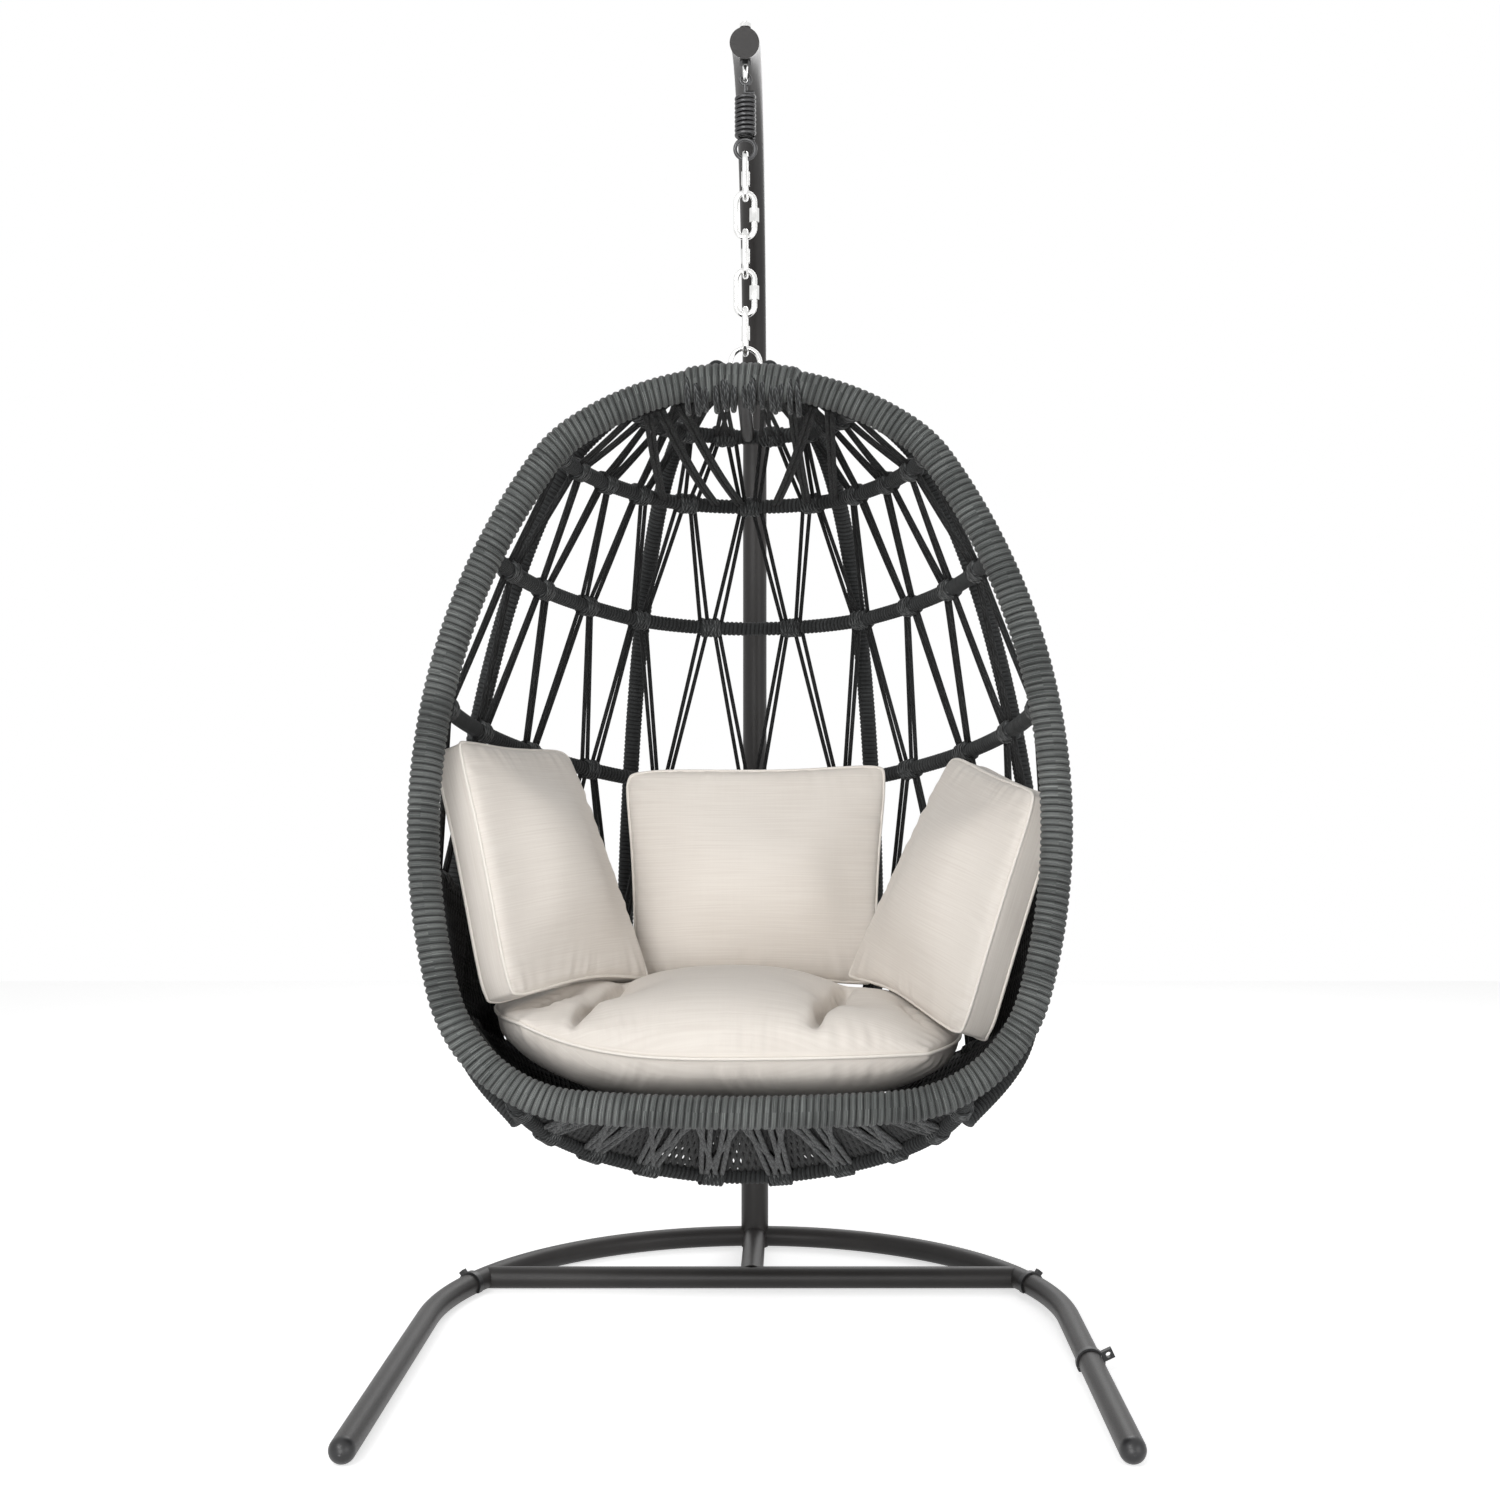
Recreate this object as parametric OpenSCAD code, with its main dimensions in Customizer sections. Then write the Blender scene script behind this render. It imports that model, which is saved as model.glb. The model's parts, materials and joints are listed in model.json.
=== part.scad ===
// Hanging egg chair: a tubular floor stand with a gooseneck mast, a hang line of eyebolt,
// extension spring and quick links, and an openwork rope basket with four loose cushions.
// Millimetres, +Z up. The origin is the middle of the footprint, on the floor;
// -Y is the open front of the basket and +Y the mast.

/* [Stand] */
// Length of the footprint from the front tips to the back of the mast
base_depth = 1079; // [1000:1:1200]
// Outside diameter of the floor tubes
base_tube_od = 35; // [30:1:40]
// Wall of the floor tubes
base_wall = 1.5; // [1:0.1:2.5]
// Radius of the rear arc, to the tube's axis; the straight legs stand this far out
base_radius = 490; // [460:1:540]
// Distance from the mast's axis forward to the crossbar's axis
crossbar_reach = 267; // [220:1:320]
// Outside diameter of the short spine tube
spine_od = 38; // [32:1:44]
// Angle along the rear arc, from its middle, where the legs plug in
leg_joint_angle = 68; // [66:1:74]
// Distance behind the front tip of the second joint in the right leg
foot_section = 355; // [250:1:450]
// Length of the insert inside each leg joint
spigot_len = 80; // [50:1:110]
// Width of the clip round each leg joint
clip_width = 11; // [8:1:20]
// Wall of the clip round each leg joint
clip_wall = 3; // [2:0.5:5]

/* [Mast] */
// Outside diameter of the lower mast
lower_mast_od = 48; // [46:0.5:54]
// Wall of the lower mast
lower_mast_wall = 2.5; // [2:0.1:3]
// Height of the lower mast's top end
mast_joint_h = 560; // [450:1:620]
// How far the upper mast plugs into the lower one
mast_plug = 120; // [80:1:160]
// Outside diameter of the upper mast and its arch
upper_mast_od = 42; // [38:0.5:42.5]
// Wall of the upper mast
upper_mast_wall = 2; // [1.5:0.1:3]
// Height where the straight mast turns into the arch
arch_start_h = 1391; // [1350:1:1450]
// Radius of the arch, to the tube's axis
arch_radius = 526; // [500:1:560]
// Angle through which the arch turns
arch_angle = 110; // [106:1:116]
// Angle between the arch's end and the eyebolt
hook_setback = 5; // [4:0.5:7]
// Diameter of the bolt through the mast joint
mast_bolt_d = 8; // [6:0.5:10]

/* [Hang line] */
// Outside diameter of the bush welded through the arch
bush_od = 16; // [14:0.5:20]
// Diameter of the eyebolt's shank
shank_d = 8; // [7:0.5:10]
// Diameter of the wire of the eye
eye_wire = 7; // [6:0.5:8]
// Inside diameter of the eye
eye_id = 10; // [9.5:0.5:14]
// Outside diameter of the spring's coils
spring_od = 31; // [28:0.5:36]
// Diameter of the spring's wire
spring_wire = 5.8; // [5:0.1:6]
// Distance from one coil to the next
spring_pitch = 6.5; // [6.5:0.1:8]
// Number of coils
spring_turns = 9; // [7:1:12]
// Free height between the spring's hook and its first coil
spring_neck = 12; // [10:1:20]
// Mean radius of the spring's top hook
hook_r = 7; // [6.8:0.1:9]
// Mean radius of the ring under the spring
ring_r = 14.5; // [13:0.5:18]
// Outside length of a quick link
link_len = 72; // [68:0.5:80]
// Outside width of a quick link
link_w = 34; // [32:0.5:38]
// Wire diameter of a quick link
link_wire = 8; // [7:0.5:8.5]
// Length of a quick link's sleeve nut
sleeve_len = 20; // [16:0.5:22]
// Width across the flats of the sleeve nut
sleeve_af = 12; // [11:0.5:14]
// Opening that the sleeve nut closes
link_gap = 7; // [5:0.5:7.5]
// Outside width of the hanger loop on the basket
hanger_w = 49; // [46:1:56]
// Wire diameter of the hanger loop
hanger_wire = 7; // [6:0.5:8]
// Height of the hanger loop's straight legs
hanger_leg = 53; // [48:1:75]

/* [Basket rim] */
// Tilt of the rim, its bottom forward
rim_tilt = 10; // [6:0.5:14]
// Distance of the rim's top in front of the hang line
rim_lead = 158; // [140:1:180]
// Outside diameter of the rim's steel tube
rim_tube_od = 25; // [22:0.5:28]
// Wall of the rim's steel tube
rim_tube_wall = 1.5; // [1:0.1:2.5]
// Outside diameter over the rope wound on the rim
rim_wrap_od = 43; // [38:0.5:48]
// Radius of the rim's crown
crown_r = 388; // [360:1:420]
// Angle of the crown, each side
crown_a = 35; // [32:1:38]
// Radius of the rim's shoulders
shoulder_r = 170; // [145:1:200]
// Angle of the shoulders
shoulder_a = 21; // [18:1:24]
// Radius of the rim's long sides
side_r = 850; // [790:1:910]
// Angle of the long sides
side_a = 50; // [48:1:52]
// Radius of the rim's lower corners
corner_r = 197; // [183:1:212]
// Angle of the lower corners
corner_a = 70; // [67:1:71]

/* [Basket shell] */
// Outside diameter of the wound hoops
hoop_od = 23; // [20:0.5:26]
// Outside diameter of the steel tube inside a hoop
hoop_core_od = 16; // [12:0.5:17]
// Wall of the steel tube inside a hoop
hoop_core_wall = 1.6; // [1:0.1:2]
// Bend radius at the back of a hoop, as a share of its half width
hoop_bend = 0.7; // [0.5:0.02:0.8]
// Diameter of the ribs
rib_d = 26; // [22:0.5:28]
// Diameter of a net cord
cord_d = 6.5; // [5:0.25:7]
// Distance between the two cords of a pair
cord_step = 10; // [9.5:0.1:10.5]
// Distance between knots, as a share of half a hoop
knot_step = 0.185; // [0.18:0.001:0.19]
// Outside diameter of a knot on a hoop
knot_od = 31; // [28:0.5:34]
// Diameter of the bar that carries the hanger loop
hanger_bar_d = 20; // [16:0.5:24]
// Thickness of the plate under the hanger loop
hanger_plate_t = 5; // [4:0.5:8]

/* [Cushions] */
// Width of the seat cushion
seat_w = 650; // [560:5:680]
// Depth of the seat cushion
seat_d = 480; // [420:5:500]
// Depth of the seat cushion's welt below the rim's top
seat_welt_fall = 898; // [883:1:908]
// Rise of the seat cushion's crown above its welt
seat_crown = 82; // [50:1:90]
// Depth of the seat cushion below its welt
seat_drop = 62; // [40:1:72]
// Depth of the tufts in the seat cushion
tuft_depth = 30; // [10:1:40]
// Width of the back pillow
back_w = 400; // [340:5:410]
// Height of the back pillow
back_h = 320; // [290:5:330]
// Width of a side pillow
side_w = 320; // [280:5:330]
// Height of a side pillow
side_h = 345; // [310:5:350]
// Width of the gusset between a pillow's two welts
gusset = 42; // [30:1:50]
// Rise of a pillow's front face above its welt
pillow_crown = 65; // [40:1:75]

/* [Hidden] */

powder_coat = "#3b3a3a";
dark_plastic = "#1d1d1e";
zinc = "#c9cbcd";
spring_black = "#2a2a2c";
rope_grey = "#4b4d4f";
linen = "#ded8d0";

$fn = 48;
gap = 0.3;        // seat clearance between loose pieces
run = 0.05;       // running clearance of a round fit
seam = 0.05;      // hairline between two arcs of a bent hoop
function hairline(r) = seam / r * 180 / PI;

// --- stand ---
tube_r = base_tube_od / 2;
mast_y = base_depth / 2 - lower_mast_od / 2;
arc_cy = mast_y - base_radius;
crossbar_y = mast_y - crossbar_reach;
tip_y = tube_r - base_depth / 2;            // end of the leg tubes, behind their domed caps
foot_joint_y = foot_section - base_depth / 2;
spigot_r = tube_r - base_wall - run;
spigot_wall = 1.5;
cap_plug = 25;
loop_hole = 8;
clip_mouth = 0.7;     // the clip is open below this share of the tube's radius

// --- mast ---
arch_cy = mast_y - arch_radius;
hook_angle = arch_angle - hook_setback;
hook_y = arch_cy + arch_radius * cos(hook_angle);
upper_r = upper_mast_od / 2;
mast_bolt_h = mast_joint_h - mast_plug / 2;
bolt_head = 6;
end_cap_t = 3;

// Height where the vertical hang line meets a circle round the arch's centre
function arch_h(r) = arch_start_h + sqrt(r * r - pow(hook_y - arch_cy, 2));

// --- hang line, from the arch down ---
bush_lip = 2.5;
bush_low = arch_h(arch_radius - upper_r) - bush_lip;
bush_high = arch_h(arch_radius + upper_r) + bush_lip;
nut_h = 5.5;
nut_af = 14;
eye_r = (eye_id + eye_wire) / 2;
eye_top = bush_low - gap - nut_h;
eye_h = eye_top - eye_r - eye_wire / 2;
eye_seat = eye_h - eye_r;
spring_hook_h = eye_seat + (eye_wire + spring_wire) / 2 + gap - hook_r;
coil_r = (spring_od - spring_wire) / 2;
coil_top = spring_hook_h - hook_r - spring_wire / 2 - spring_neck;
coil_low = coil_top - spring_wire - spring_turns * spring_pitch;
ring_drop = sqrt(pow(ring_r + spring_wire + gap, 2) - coil_r * coil_r);
ring_h = coil_low + spring_wire / 2 - ring_drop;
ring_seat = ring_h - ring_r;
link_r = (link_w - link_wire) / 2;
link_half = link_len / 2 - link_wire / 2 - link_r;   // half of a link's straight side
link_1_top = ring_seat + (spring_wire + link_wire) / 2 + gap;
link_pitch = link_len - 2 * link_wire - gap;
link_gap_mid = 2 + link_gap / 2 - sleeve_len / 2;    // the shut sleeve covers the gap's low end by 2
function link_h(i) = link_1_top - link_r - link_half - i * link_pitch;
hanger_r = (hanger_w - hanger_wire) / 2;
hanger_top = link_h(4) - link_half - link_r + (link_wire + hanger_wire) / 2 + gap;
hanger_h = hanger_top - hanger_r;
hanger_base = hanger_h - hanger_leg;

// --- rim: five tangent arcs a side, in the rim's plane ---
rim_r_fixed = [crown_r, shoulder_r, side_r, corner_r];
rim_turn = [0, crown_a, crown_a + shoulder_a, crown_a + shoulder_a + side_a,
            crown_a + shoulder_a + side_a + corner_a, 180];
function rim_centre(i) = i == 0 ? [0, crown_r]
    : rim_centre(i - 1) + (rim_r(i - 1) - rim_r(i)) * [sin(rim_turn[i]), -cos(rim_turn[i])];
function rim_r(i) = i < 4 ? rim_r_fixed[i]
    : corner_r + rim_centre(3)[0] / sin(rim_turn[4]);
function rim_join(i) = rim_centre(i)[1] - rim_r(i) * cos(rim_turn[i + 1]);
rim_len = rim_join(4);
function rim_arc_at(v) = v < rim_join(0) ? 0 : v < rim_join(1) ? 1 : v < rim_join(2) ? 2
    : v < rim_join(3) ? 3 : 4;
function rim_x(v) = let (i = rim_arc_at(v), c = rim_centre(i))
    c[0] + sqrt(max(0, pow(rim_r(i), 2) - pow(v - c[1], 2)));
function rim_tangent(v) = let (i = rim_arc_at(v), c = rim_centre(i),
    x = rim_x(v)) rim_dir([c[1] - v, x - c[0]] / rim_r(i));
rim_top_y = hook_y - rim_lead;
bar_y = [rim_top_y, rim_top_y + 322];        // ends of the hanger bar
bar_fall = 23;
bar_slope = atan2(bar_fall, bar_y[1] - bar_y[0]);
bar_at_hook = bar_fall * rim_lead / (bar_y[1] - bar_y[0]);
rim_top_h = hanger_base - hanger_plate_t - hanger_bar_d / 2 / cos(bar_slope) + bar_at_hook;
function rim_dir(p) = [p[0], -p[1] * sin(rim_tilt), -p[1] * cos(rim_tilt)];
function rim_pt(p) = [0, rim_top_y, rim_top_h] + rim_dir(p);
wrap_r = rim_wrap_od / 2;

// --- hoops: where each leaves the rim, and where its back stands ---
hoop_r = hoop_od / 2;
hoop_v = [31, 96, 239, 437, 651, 813, 940];          // down the rim from its top
hoop_back = [[322, 23], [434, 115], [526, 302], [556, 560], [510, 820], [383, 1033],
             [180, 1117]];                           // behind and below the rim's top
hoop_flare = [0, 0, 0, 2, 8, 10, 8];                 // outward turn where it leaves the rim
hoops = len(hoop_v);
function hoop_end(i) = rim_pt([0, hoop_v[i]]);
function hoop_rear(i) = [0, rim_top_y + hoop_back[i][0], rim_top_h - hoop_back[i][1]];
function hoop_half(i) = rim_x(hoop_v[i]);
function hoop_depth(i) = norm(hoop_rear(i) - hoop_end(i));
function hoop_dir(i) = (hoop_rear(i) - hoop_end(i)) / hoop_depth(i);
function hoop_tilt(i) = atan2(hoop_dir(i)[2], hoop_dir(i)[1]);
// Back arc radius, last angle, angle where the arcs join, and the side arc's extra radius
function hoop_form(i) = let (w = hoop_half(i), d = hoop_depth(i), rb = hoop_bend * w,
    a = 90 + hoop_flare[i],
    b = 2 * atan2(d - rb * (1 - cos(a)), w - rb * sin(a)) - a,
    q = (w - rb * sin(a)) / (sin(a) - sin(b))) [rb, a, b, q];
forms = [for (i = [0 : hoops - 1]) hoop_form(i)];
// Centre of the side arc, in the hoop's own plane
function side_c(i) = let (f = forms[i])
    [-f[3] * sin(f[2]), hoop_depth(i) - f[0] - f[3] * cos(f[2])];
function hoop_turn(i, l) = let (f = forms[i], lb = f[0] * f[2] * PI / 180)
    abs(l) <= lb ? abs(l) / f[0] * 180 / PI
    : f[2] + (abs(l) - lb) / (f[0] + f[3]) * 180 / PI;
function hoop_flat(i, l) = let (f = forms[i], t = hoop_turn(i, l))
    t <= f[2] ? [0, hoop_depth(i) - f[0]] + f[0] * [sin(t), cos(t)]
    : side_c(i) + (f[0] + f[3]) * [sin(t), cos(t)];
function hoop_pt(i, l) = let (p = hoop_flat(i, l))
    hoop_end(i) + [sign(l) * p[0], 0, 0] + p[1] * hoop_dir(i);
function hoop_tangent(i, l) = let (t = hoop_turn(i, l), s = l < 0 ? -1 : 1)
    [cos(t), 0, 0] - s * sin(t) * hoop_dir(i);
function hoop_len(i) = let (f = forms[i])
    (f[0] * f[2] + (f[0] + f[3]) * (f[1] - f[2])) * PI / 180;
// Angle that the trimmed end of a hoop stops short of the rim's axis
function hoop_trim(i) = let (f = forms[i], c = abs(hoop_tangent(i, hoop_len(i))
    * rim_tangent(hoop_v[i])))
    (wrap_r + gap + hoop_r * c) / sqrt(1 - c * c) / (f[0] + f[3]) * 180 / PI;

// --- net and ribs: curve 0 is the rim's crown, 1 to 7 the hoops, 8 the rim's foot ---
crown_half = 130;
foot_half = 270;
rows = hoops + 1;
function row_len(k) = k == 0 ? crown_half : k == rows ? foot_half : hoop_len(k - 1);
function row_pt(k, l) = k == 0 ? rim_pt([l, crown_r - sqrt(crown_r * crown_r - l * l)])
    : k == rows ? rim_pt([l, rim_centre(4)[1] + sqrt(pow(rim_r(4), 2) - l * l)])
    : hoop_pt(k - 1, l);
function row_tangent(k, l) = k == 0 || k == rows ? [1, 0, 0] : hoop_tangent(k - 1, l);
function row_r(k) = k == 0 || k == rows ? wrap_r : knot_od / 2;
function row_shift(k) = k % 2 == 0 ? 0 : 0.5;
function unit(v) = v / norm(v);
// Outward direction of the shell at share s of row k
function outward(k, s) = unit(cross(row_tangent(k, s * row_len(k)),
    row_pt(min(k + 1, rows), s * row_len(min(k + 1, rows)))
    - row_pt(max(k - 1, 0), s * row_len(max(k - 1, 0)))));
rib_inner = 0.235;
rib_reach = 0.84;     // share of the way from the last but one hoop to the last
rib_outer = 0.694;
knot_len = 3 * cord_step + cord_d;
// A knot's bore clears the bend of its hoop
function knot_play(k) = gap + knot_len * knot_len / 8 / forms[k - 1][0];
function cord_play(k) = cord_gap
    + (k == 0 || k == rows ? 0 : pow(1.5 * cord_step, 2) / 2 / forms[k - 1][0]);
knot_miss = 0.0425;   // least distance from a rib to a knot, as a share of half a hoop
// Ribs lie on the hoop, or on its knots where those stand too close
function rib_off(k) = rib_d / 2 + gap
    + (knot_miss * row_len(k) < (knot_len + rib_d) / 2 ? knot_od / 2 : hoop_r);
cord_gap = 0.15;
roof_hub = 0.1;       // the hanger bar takes the middle of the crown
roof_span = 1;        // share of the crown that the roof's cords use
floor_span = 1;       // share of the rim's foot that the floor's cords use

// --- cushions ---
seat_welt_h = rim_top_h - seat_welt_fall;
seat_grid = 20;
seat_mid = rim_top_y + 118;
seat_side = -22;      // the seat lies a little to the left
seat_taper = 0.3;     // narrowing towards the back of the basket
seat_fall = 0.85;     // loss of crown towards the back, under the pillows
seat_curl = 40;       // rise of the left end against the basket's side
tuft_spread = 45;
tufts = [for (x = [-0.25, 0.25]) for (y = [-0.2, 0.16])
    [seat_side + x * seat_w, seat_mid + y * seat_d], [seat_side, seat_mid - 10]];
pillow_grid = 14;
pillow_waist = 0.03;
pillow_corner = 0.06; // how far a pillow's corners are drawn in
back_at = [12, rim_top_y + 300, rim_top_h - 687];
back_lean = 8;
back_fill = 90;       // how far the back pillow swells towards the net
back_pinch = 0.1;     // narrowing of the back pillow towards its foot
// Centre and turn of the side pillows; the right one is given as if it stood on the left
left_at = [-290, rim_top_y + 86, rim_top_h - 664];
left_yaw = 65;
right_at = [-302, rim_top_y + 80, rim_top_h - 696];
right_yaw = 69;
right_roll = 11;      // its outer corners stand this many degrees down
side_lean = 18;
side_twist = 15;      // how far each corner of a side pillow leaves its plane

// ---------------------------------------------------------------- helpers

module pipe(r, wall, h) {
    difference() {
        cylinder(r = r, h = h);
        translate([0, 0, -1]) cylinder(r = r - wall, h = h + 2);
    }
}

// A bent tube about Z, from angle a0 to a1 in the XY plane
module bent_pipe(radius, r, wall, a0, a1) {
    rotate([0, 0, a0]) rotate_extrude(angle = a1 - a0, $fn = max(96, radius / 2)) translate([radius, 0])
        difference() {
            circle(r = r);
            if (wall > 0) circle(r = r - wall);
        }
}

module bent_rod(radius, r, a0, a1) {
    bent_pipe(radius, r, 0, a0, a1);
}

// A cylinder from point p to point q
module rod(p, q, r) {
    d = q - p;
    translate(p) rotate([0, acos(d[2] / norm(d)), atan2(d[1], d[0])])
        cylinder(r = r, h = norm(d), $fn = 24);
}

module hex_nut(af, h, bore_r) {
    difference() {
        cylinder(d = af / cos(30), h = h, $fn = 6);
        translate([0, 0, -1]) cylinder(r = bore_r, h = h + 2);
    }
}

// A tube of n sides swept along a list of points
module sweep(pts, r, n) {
    m = len(pts);
    function along(i) = unit(pts[min(i + 1, m - 1)] - pts[max(i - 1, 0)]);
    function side(i) = i == 0 ? unit(cross(along(0), [0.31, 0.17, 0.93]))
        : let (s = side_of[i - 1]) unit(s - (s * along(i)) * along(i));
    side_of = side_list(pts, m);
    polyhedron(
        points = [for (i = [0 : m - 1]) let (t = along(i), u = side_of[i], w = cross(t, u))
            for (j = [0 : n - 1]) pts[i] + r * (cos(360 * j / n) * u + sin(360 * j / n) * w)],
        faces = concat(
            [for (j = [1 : n - 2]) [0, j, j + 1]],
            [for (j = [1 : n - 2]) [(m - 1) * n, (m - 1) * n + j + 1, (m - 1) * n + j]],
            [for (i = [0 : m - 2]) for (j = [0 : n - 1]) let (k = (j + 1) % n)
                each [[i * n + j, (i + 1) * n + j, (i + 1) * n + k],
                      [i * n + j, (i + 1) * n + k, i * n + k]]]));
}

// Side vectors carried along the points without twist
function side_list(pts, m, i = 0, last = [0.31, 0.17, 0.93]) = i == m ? []
    : let (t = unit(pts[min(i + 1, m - 1)] - pts[max(i - 1, 0)]),
           s = unit(last - (last * t) * t)) concat([s], side_list(pts, m, i + 1, s));

// Smooth curve through the points, n steps a span
function smooth(p, n) = concat([for (i = [0 : len(p) - 2]) for (j = [0 : n - 1])
    let (a = p[max(i - 1, 0)], b = p[i], c = p[i + 1], d = p[min(i + 2, len(p) - 1)], t = j / n)
    0.5 * (2 * b + (c - a) * t + (2 * a - 5 * b + 4 * c - d) * t * t
        + (3 * b - a - 3 * c + d) * t * t * t)], [p[len(p) - 1]]);

// ---------------------------------------------------------------- stand

// Ring angles are measured from the mast, positive to the right
module on_arc(a0, a1, r, wall) {
    translate([0, arc_cy, tube_r]) bent_pipe(base_radius, r, wall, 90 - a1, 90 - a0);
}

module rear_arc(side) {
    color(powder_coat) difference() {
        mirror([side < 0 ? 1 : 0, 0, 0])
            on_arc(0, leg_joint_angle, tube_r, base_wall);
        translate([0, mast_y, -1]) cylinder(d = lower_mast_od + 2 * gap, h = base_tube_od + 2);
    }
}

module base_spine() {
    color(powder_coat) difference() {
        translate([0, crossbar_y, spine_od / 2]) rotate([-90, 0, 0])
            pipe(spine_od / 2, base_wall, crossbar_reach);
        translate([0, mast_y, -1]) cylinder(d = lower_mast_od + 2 * gap, h = spine_od + 2);
        translate([-spine_od, crossbar_y, tube_r]) rotate([0, 90, 0])
            cylinder(r = tube_r + gap, h = 2 * spine_od);
        on_arc(-10, 10, tube_r + gap, 0);
    }
}

module crossbar() {
    reach = sqrt(base_radius * base_radius - pow(crossbar_y - arc_cy, 2));
    color(powder_coat) difference() {
        translate([-reach, crossbar_y, tube_r]) rotate([0, 90, 0])
            pipe(tube_r, base_wall, 2 * reach);
        on_arc(-89, 89, tube_r + gap, 0);
    }
}

module leg_bend() {
    on_arc(leg_joint_angle, 90, tube_r, base_wall);
}

module straight_leg(y0, y1) {
    translate([base_radius, y1, tube_r]) rotate([-90, 0, 0]) pipe(tube_r, base_wall, y0 - y1);
}

module left_leg() {
    color(powder_coat) mirror([1, 0, 0]) {
        leg_bend();
        straight_leg(arc_cy, tip_y);
    }
}

module right_leg_rear() {
    color(powder_coat) {
        leg_bend();
        straight_leg(arc_cy, foot_joint_y);
    }
}

module right_leg_front() {
    color(powder_coat) straight_leg(foot_joint_y, tip_y);
}

// Domed cap with a plug, at the front end of each leg
module foot_caps() {
    color(dark_plastic) for (s = [-1, 1]) translate([s * base_radius, tip_y, tube_r])
        rotate([90, 0, 0]) {
            difference() {
                sphere(r = tube_r);
                translate([0, 0, -base_tube_od]) cube(2 * base_tube_od, center = true);
            }
            translate([0, 0, -cap_plug]) cylinder(r = spigot_r, h = cap_plug);
        }
}

// Open clip round a joint; its lug points up and outward
module clip(loop) {
    outer = tube_r + gap + clip_wall;
    lug = loop ? [14, 16] : [9, 7];
    lug_turn = loop ? 25 : 50;
    intersection() {
        rotate([90, 0, 0]) translate([0, 0, -clip_width / 2]) difference() {
            union() {
                rotate([0, 0, -90]) cylinder(r = outer, h = clip_width);
                rotate([0, 0, lug_turn]) translate([outer - 1.5, -lug[0] / 2, 0.8])
                    cube([lug[1], lug[0], clip_width - 1.6]);
            }
            rotate([0, 0, -90]) translate([0, 0, -1]) cylinder(r = tube_r + gap, h = clip_width + 2);
            if (loop) rotate([0, 0, lug_turn]) translate([outer + lug[1] / 2 - 1, 0, -1])
                cylinder(d = loop_hole, h = clip_width + 2);
        }
        translate([-50, -50, -clip_mouth * tube_r]) cube(100);
    }
}

module joint_clip(side) {
    color(dark_plastic) mirror([side < 0 ? 1 : 0, 0, 0]) translate([0, arc_cy, tube_r])
        rotate([0, 0, -leg_joint_angle]) translate([0, base_radius, 0]) rotate([0, 0, 90])
            clip(false);
}

module clip_left() {
    joint_clip(-1);
}

module clip_right_rear() {
    joint_clip(1);
}

module clip_right_front() {
    color(dark_plastic) translate([base_radius, foot_joint_y, tube_r]) clip(true);
}

// Short inserts inside the three leg joints
module leg_spigots() {
    half = spigot_len / 2 / base_radius * 180 / PI;
    color(zinc) {
        for (s = [0, 1]) mirror([s, 0, 0])
            on_arc(leg_joint_angle - half, leg_joint_angle + half, spigot_r, spigot_wall);
        translate([base_radius, foot_joint_y - spigot_len / 2, tube_r]) rotate([-90, 0, 0])
            pipe(spigot_r, spigot_wall, spigot_len);
    }
}

// ---------------------------------------------------------------- mast

module mast_bolt_hole(r) {
    translate([-lower_mast_od, mast_y, mast_bolt_h]) rotate([0, 90, 0])
        cylinder(r = r, h = 2 * lower_mast_od);
}

module lower_mast() {
    color(powder_coat) difference() {
        translate([0, mast_y, 0]) pipe(lower_mast_od / 2, lower_mast_wall, mast_joint_h);
        mast_bolt_hole(mast_bolt_d / 2 + run);
    }
}

module upper_mast() {
    foot_h = mast_joint_h - mast_plug;
    color(powder_coat) difference() {
        union() {
            translate([0, mast_y, foot_h]) pipe(upper_r, upper_mast_wall, arch_start_h - foot_h);
            translate([0, arch_cy, arch_start_h]) rotate([90, 0, 90])
                bent_pipe(arch_radius, upper_r, upper_mast_wall, 0, arch_angle);
        }
        mast_bolt_hole(mast_bolt_d / 2 + run);
        translate([0, hook_y, bush_low - 20]) cylinder(d = bush_od + 2 * gap, h = 100);
    }
}

module mast_bolt() {
    half = lower_mast_od / 2 + gap;
    color(zinc) translate([0, mast_y, mast_bolt_h]) rotate([0, 90, 0]) {
        translate([0, 0, -half]) cylinder(d = mast_bolt_d, h = 2 * half + 12);
        translate([0, 0, -half - bolt_head])
            cylinder(d = 1.6 * mast_bolt_d / cos(30), h = bolt_head, $fn = 6);
        translate([0, 0, half]) hex_nut(1.6 * mast_bolt_d, bolt_head, mast_bolt_d / 2 + run);
    }
}

// Flat disc with a plug, closing the arch's free end
module mast_end_cap() {
    color(powder_coat) translate([0, arch_cy, arch_start_h]) rotate([arch_angle, 0, 0])
        translate([0, arch_radius, 0]) {
            cylinder(r = upper_r, h = end_cap_t);
            translate([0, 0, -cap_plug / 2])
                cylinder(r = upper_r - upper_mast_wall - 2 * gap, h = cap_plug / 2);
        }
}

// ---------------------------------------------------------------- hang line

module hanger_bush() {
    color(powder_coat) translate([0, hook_y, bush_low]) difference() {
        cylinder(d = bush_od, h = bush_high - bush_low);
        translate([0, 0, -1]) cylinder(r = shank_d / 2 + run, h = bush_high - bush_low + 2);
    }
}

module eyebolt() {
    color(zinc) {
        translate([0, hook_y, eye_h]) rotate([90, 0, 90])
            rotate_extrude() translate([eye_r, 0]) circle(d = eye_wire);
        translate([0, hook_y, eye_h + eye_r])
            cylinder(d = shank_d, h = bush_high + gap + nut_h + 3 - eye_h - eye_r);
    }
}

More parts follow.
